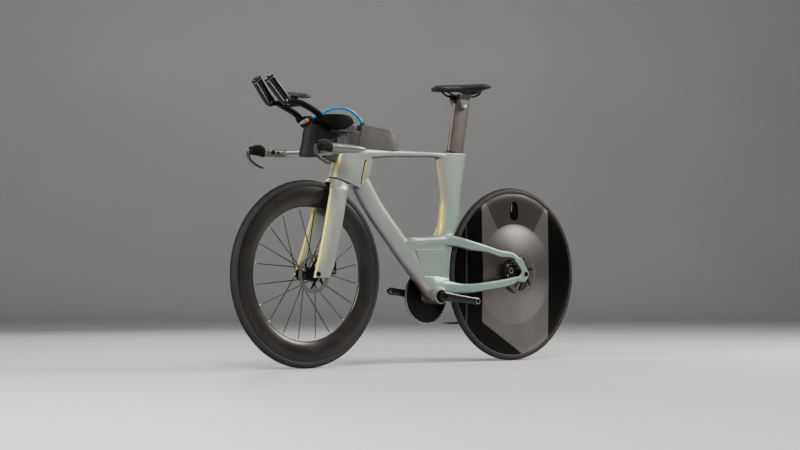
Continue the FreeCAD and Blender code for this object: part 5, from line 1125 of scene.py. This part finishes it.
# ------------------------------------------------------------------ crank and wheel details
ins = Mesh()
for sg, ang in ((1, 187.0), (-1, 7.0)):
    e = P(-102 + 160 * math.cos(math.radians(ang)), sg * 76.0, 255 + 160 * math.sin(math.radians(ang)))
    ins.lathe([(-0.0005, 0.0073), (-0.0005, 0.0113), (0.0009, 0.0113), (0.0014, 0.0106), (0.0014, 0.0076)], e, (0, sg, 0))
ins.make("pedal_eye_inserts", [M["bolt"]], "crankset")
cap = Mesh()
cap.lathe([(-0.0010, 0.0052), (-0.0010, 0.0128), (0.0012, 0.0128), (0.0021, 0.0118), (0.0023, 0.0092), (0.0012, 0.0086), (0.0012, 0.0052)], P(-102, 67.2, 255), (0, 1, 0), 48)
for i in range(8):
    t = 2 * math.pi * i / 8
    cap.rod(P(-102 + 8.9 * math.cos(t), 68.3, 255 + 8.9 * math.sin(t)), P(-102 + 7.2 * math.cos(t), 68.3, 255 + 7.2 * math.sin(t)), 0.0008, 0, 8)
u = Vector((math.cos(math.radians(187)), 0, math.sin(math.radians(187))))
nn = Vector((-u.z, 0, u.x))
for k in (0.0285, 0.0405):
    cap.bolt(P(-102, 58.5, 255) + u * k + nn * 0.0163 * (1 if k < 0.03 else 0.985), nn, 0.0032, 0.0022, 1)
cap.make("crank_cap", [M["black_alloy"], M["bolt"]], "crankset")

nip = Mesh()
for i in range(20):
    a = 2 * math.pi * (i + 0.5) / 20
    left, lead = i % 2 == 0, (i // 2) % 2 == 0
    yh = (23.2 if left else -35.0) + (1.9 if lead else -1.9)
    rh = 22.0 if left else 21.0
    ah = a + (1 if lead else -1) * math.radians(62)
    p0 = P(515 + rh * math.cos(ah), yh, 339 + rh * math.sin(ah))
    p1 = P(515 + 245.5 * math.cos(a), 1.2 if left else -1.2, 339 + 245.5 * math.sin(a))
    d = (p0 - p1).normalized()
    nip.turned([(-0.003, 0.0022), (0.0036, 0.0022), (0.0042, 0.0026), (0.0056, 0.0026), (0.0062, 0.0021), (0.0125, 0.0019), (0.0135, 0.0014)], p1, d, 12)
nip.make("spoke_nipples", [M["bolt"]], "front_wheel")

def reach(node, origin, direction):
    """Where a straight line first meets a CAD node."""
    me = nodes[node].data
    tree = BVHTree.FromPolygons([v.co for v in me.vertices], [tuple(q.vertices) for q in me.polygons])
    return tree.ray_cast(Vector(origin), Vector(direction))[0]


pin = Mesh()
for sg in (1, -1):
    hit = reach("saddle_clamp", P(-238, sg * 120, 984), (0, -sg, 0)) or P(-238, sg * 28, 984)
    pin.bolt(hit - Vector((0, sg * 0.0004, 0)), (0, sg, 0), 0.0070, 0.0030)
pin.make("saddle_clamp_screws", [M["alloy"]], nodes["saddle_clamp"]["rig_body"])

cal = Mesh()
for p_, r in ((P(429, 48.4, 388), 0.0042), (P(429, 48.4, 348), 0.0042)):
    cal.bolt(p_, (0, 1, 0), r, 0.0026)
cal.lathe([(-0.001, 0.0080), (-0.001, 0.0118), (0.0008, 0.0118), (0.0012, 0.0108), (0.0012, 0.0080)], P(446, 48.4, 366), (0, 1, 0), 40)
cal.make("front_caliper_screws", [M["bolt"]], "steering")
cal = Mesh()
for p_, r in ((P(-430, 65.8, 371), 0.0040), (P(-430, 65.8, 334), 0.0040)):
    cal.bolt(p_, (0, 1, 0), r, 0.0024)
cal.lathe([(-0.001, 0.0075), (-0.001, 0.0112), (0.0008, 0.0112), (0.0012, 0.0104), (0.0012, 0.0075)], P(-449, 65.8, 353), (0, 1, 0), 40)
cal.make("rear_caliper_screws", [M["bolt"]], "frame")

# ------------------------------------------------------------------ CAD pieces that keep their shape
for node, key in {
    "front_rim": "rim", "rear_disc": "disc", "front_spokes": "spoke", "front_hub": "black_alloy", "rear_hub": "black_alloy",
    "front_rotor": "rotor_f", "rear_rotor": "rotor_r", "front_axle": "black_alloy", "rear_axle": "black_alloy", "front_valve": "alloy", "rear_valve": "alloy",
    "saddle_rails": "black_alloy", "seatpost_clamp": "black_alloy", "headset_bearings": "bolt", "bottom_bracket_cups": "black_alloy",
    "crank_spindle": "bolt", "chainring": "black_alloy", "chain": "chain", "cassette": "cogs", "derailleur_cage": "black_alloy",
    "guide_pulley": "plastic", "tension_pulley": "plastic", "lid_hinge_pin": "bolt", "lever_pivot_pins": "bolt",
    "riser_plates": "riser", "cockpit_bolts": "bolt", "computer_mount": "black_alloy",
    "shift_button_left": "plastic", "shift_button_right": "plastic", "grip_button_left": "device", "grip_button_right": "device",
}.items():
    paint(node, M[key])

# ------------------------------------------------------------------ studio
floor_me = bpy.data.meshes.new("floor")
prof = [(-9.0, 0.0), (0.0, 0.0), (7.0, 0.0)]
for i in range(1, 13):
    t = math.pi / 2 * i / 12
    prof.append((7.0 + 2.2 * math.sin(t), 2.2 - 2.2 * math.cos(t)))
prof.append((9.2, 9.0))
dirv = Vector((look.x, look.y, 0)).normalized()
sidev = Vector((-dirv.y, dirv.x, 0))
vv, ff = [], []
for d, h in prof:
    for w in (-16.0, 16.0):
        vv.append(dirv * d + sidev * w + Vector((0, 0, h - 0.0005)))
for i in range(len(prof) - 1):
    ff.append((2 * i, 2 * i + 1, 2 * i + 3, 2 * i + 2))
floor_me.from_pydata([tuple(p) for p in vv], [], ff)
floor_me.polygons.foreach_set("use_smooth", np.ones(len(ff), bool))
floor = bpy.data.objects.new("floor", floor_me)
scene.collection.objects.link(floor)
fs = Shader("floor")
fs.feed("Base Color", fs.mix(fs.noise(1.2, 3.0, 0.5), (0.60, 0.60, 0.60), (0.66, 0.66, 0.66)))
fs.feed("Roughness", 0.55)
floor_me.materials.append(fs.m)

world = bpy.data.worlds.new("studio")
world.use_nodes = True
world.node_tree.nodes["Background"].inputs[0].default_value = (0.72, 0.74, 0.76, 1.0)
world.node_tree.nodes["Background"].inputs[1].default_value = 0.16
scene.world = world


def area(name, loc, target, size, power, colour=(1, 1, 1), sizey=None):
    d = bpy.data.lights.new(name, "AREA")
    d.shape = "RECTANGLE"
    d.size, d.size_y = size, sizey or size
    d.energy = power
    d.color = colour
    o = bpy.data.objects.new(name, d)
    scene.collection.objects.link(o)
    o.location = loc
    o.rotation_mode = "QUATERNION"
    o.rotation_quaternion = (Vector(target) - Vector(loc)).to_track_quat("-Z", "Y")
    return o


area("key", (3.4, 3.2, 2.8), (0.15, 0.0, 0.55), 2.0, 150, (1.0, 0.985, 0.96))
area("front", (4.6, 0.4, 1.5), (0.3, 0.0, 0.5), 1.0, 84, (1.0, 0.97, 0.90), 2.2)
area("top", (-0.4, 0.7, 3.8), (-0.2, 0.0, 0.4), 3.0, 25, (1.0, 1.0, 1.0), 1.0)
area("rear", (-3.3, 1.9, 2.6), (-0.5, 0.0, 0.40), 1.6, 170, (1.0, 0.97, 0.94), 1.6)
area("back", (-0.6, -3.4, 2.6), (0.0, 0.0, 0.6), 2.6, 50)
scene.view_settings.view_transform = "AgX"
scene.view_settings.look = "AgX - Medium High Contrast"

# ------------------------------------------------------------------ close
bpy.context.view_layer.update()
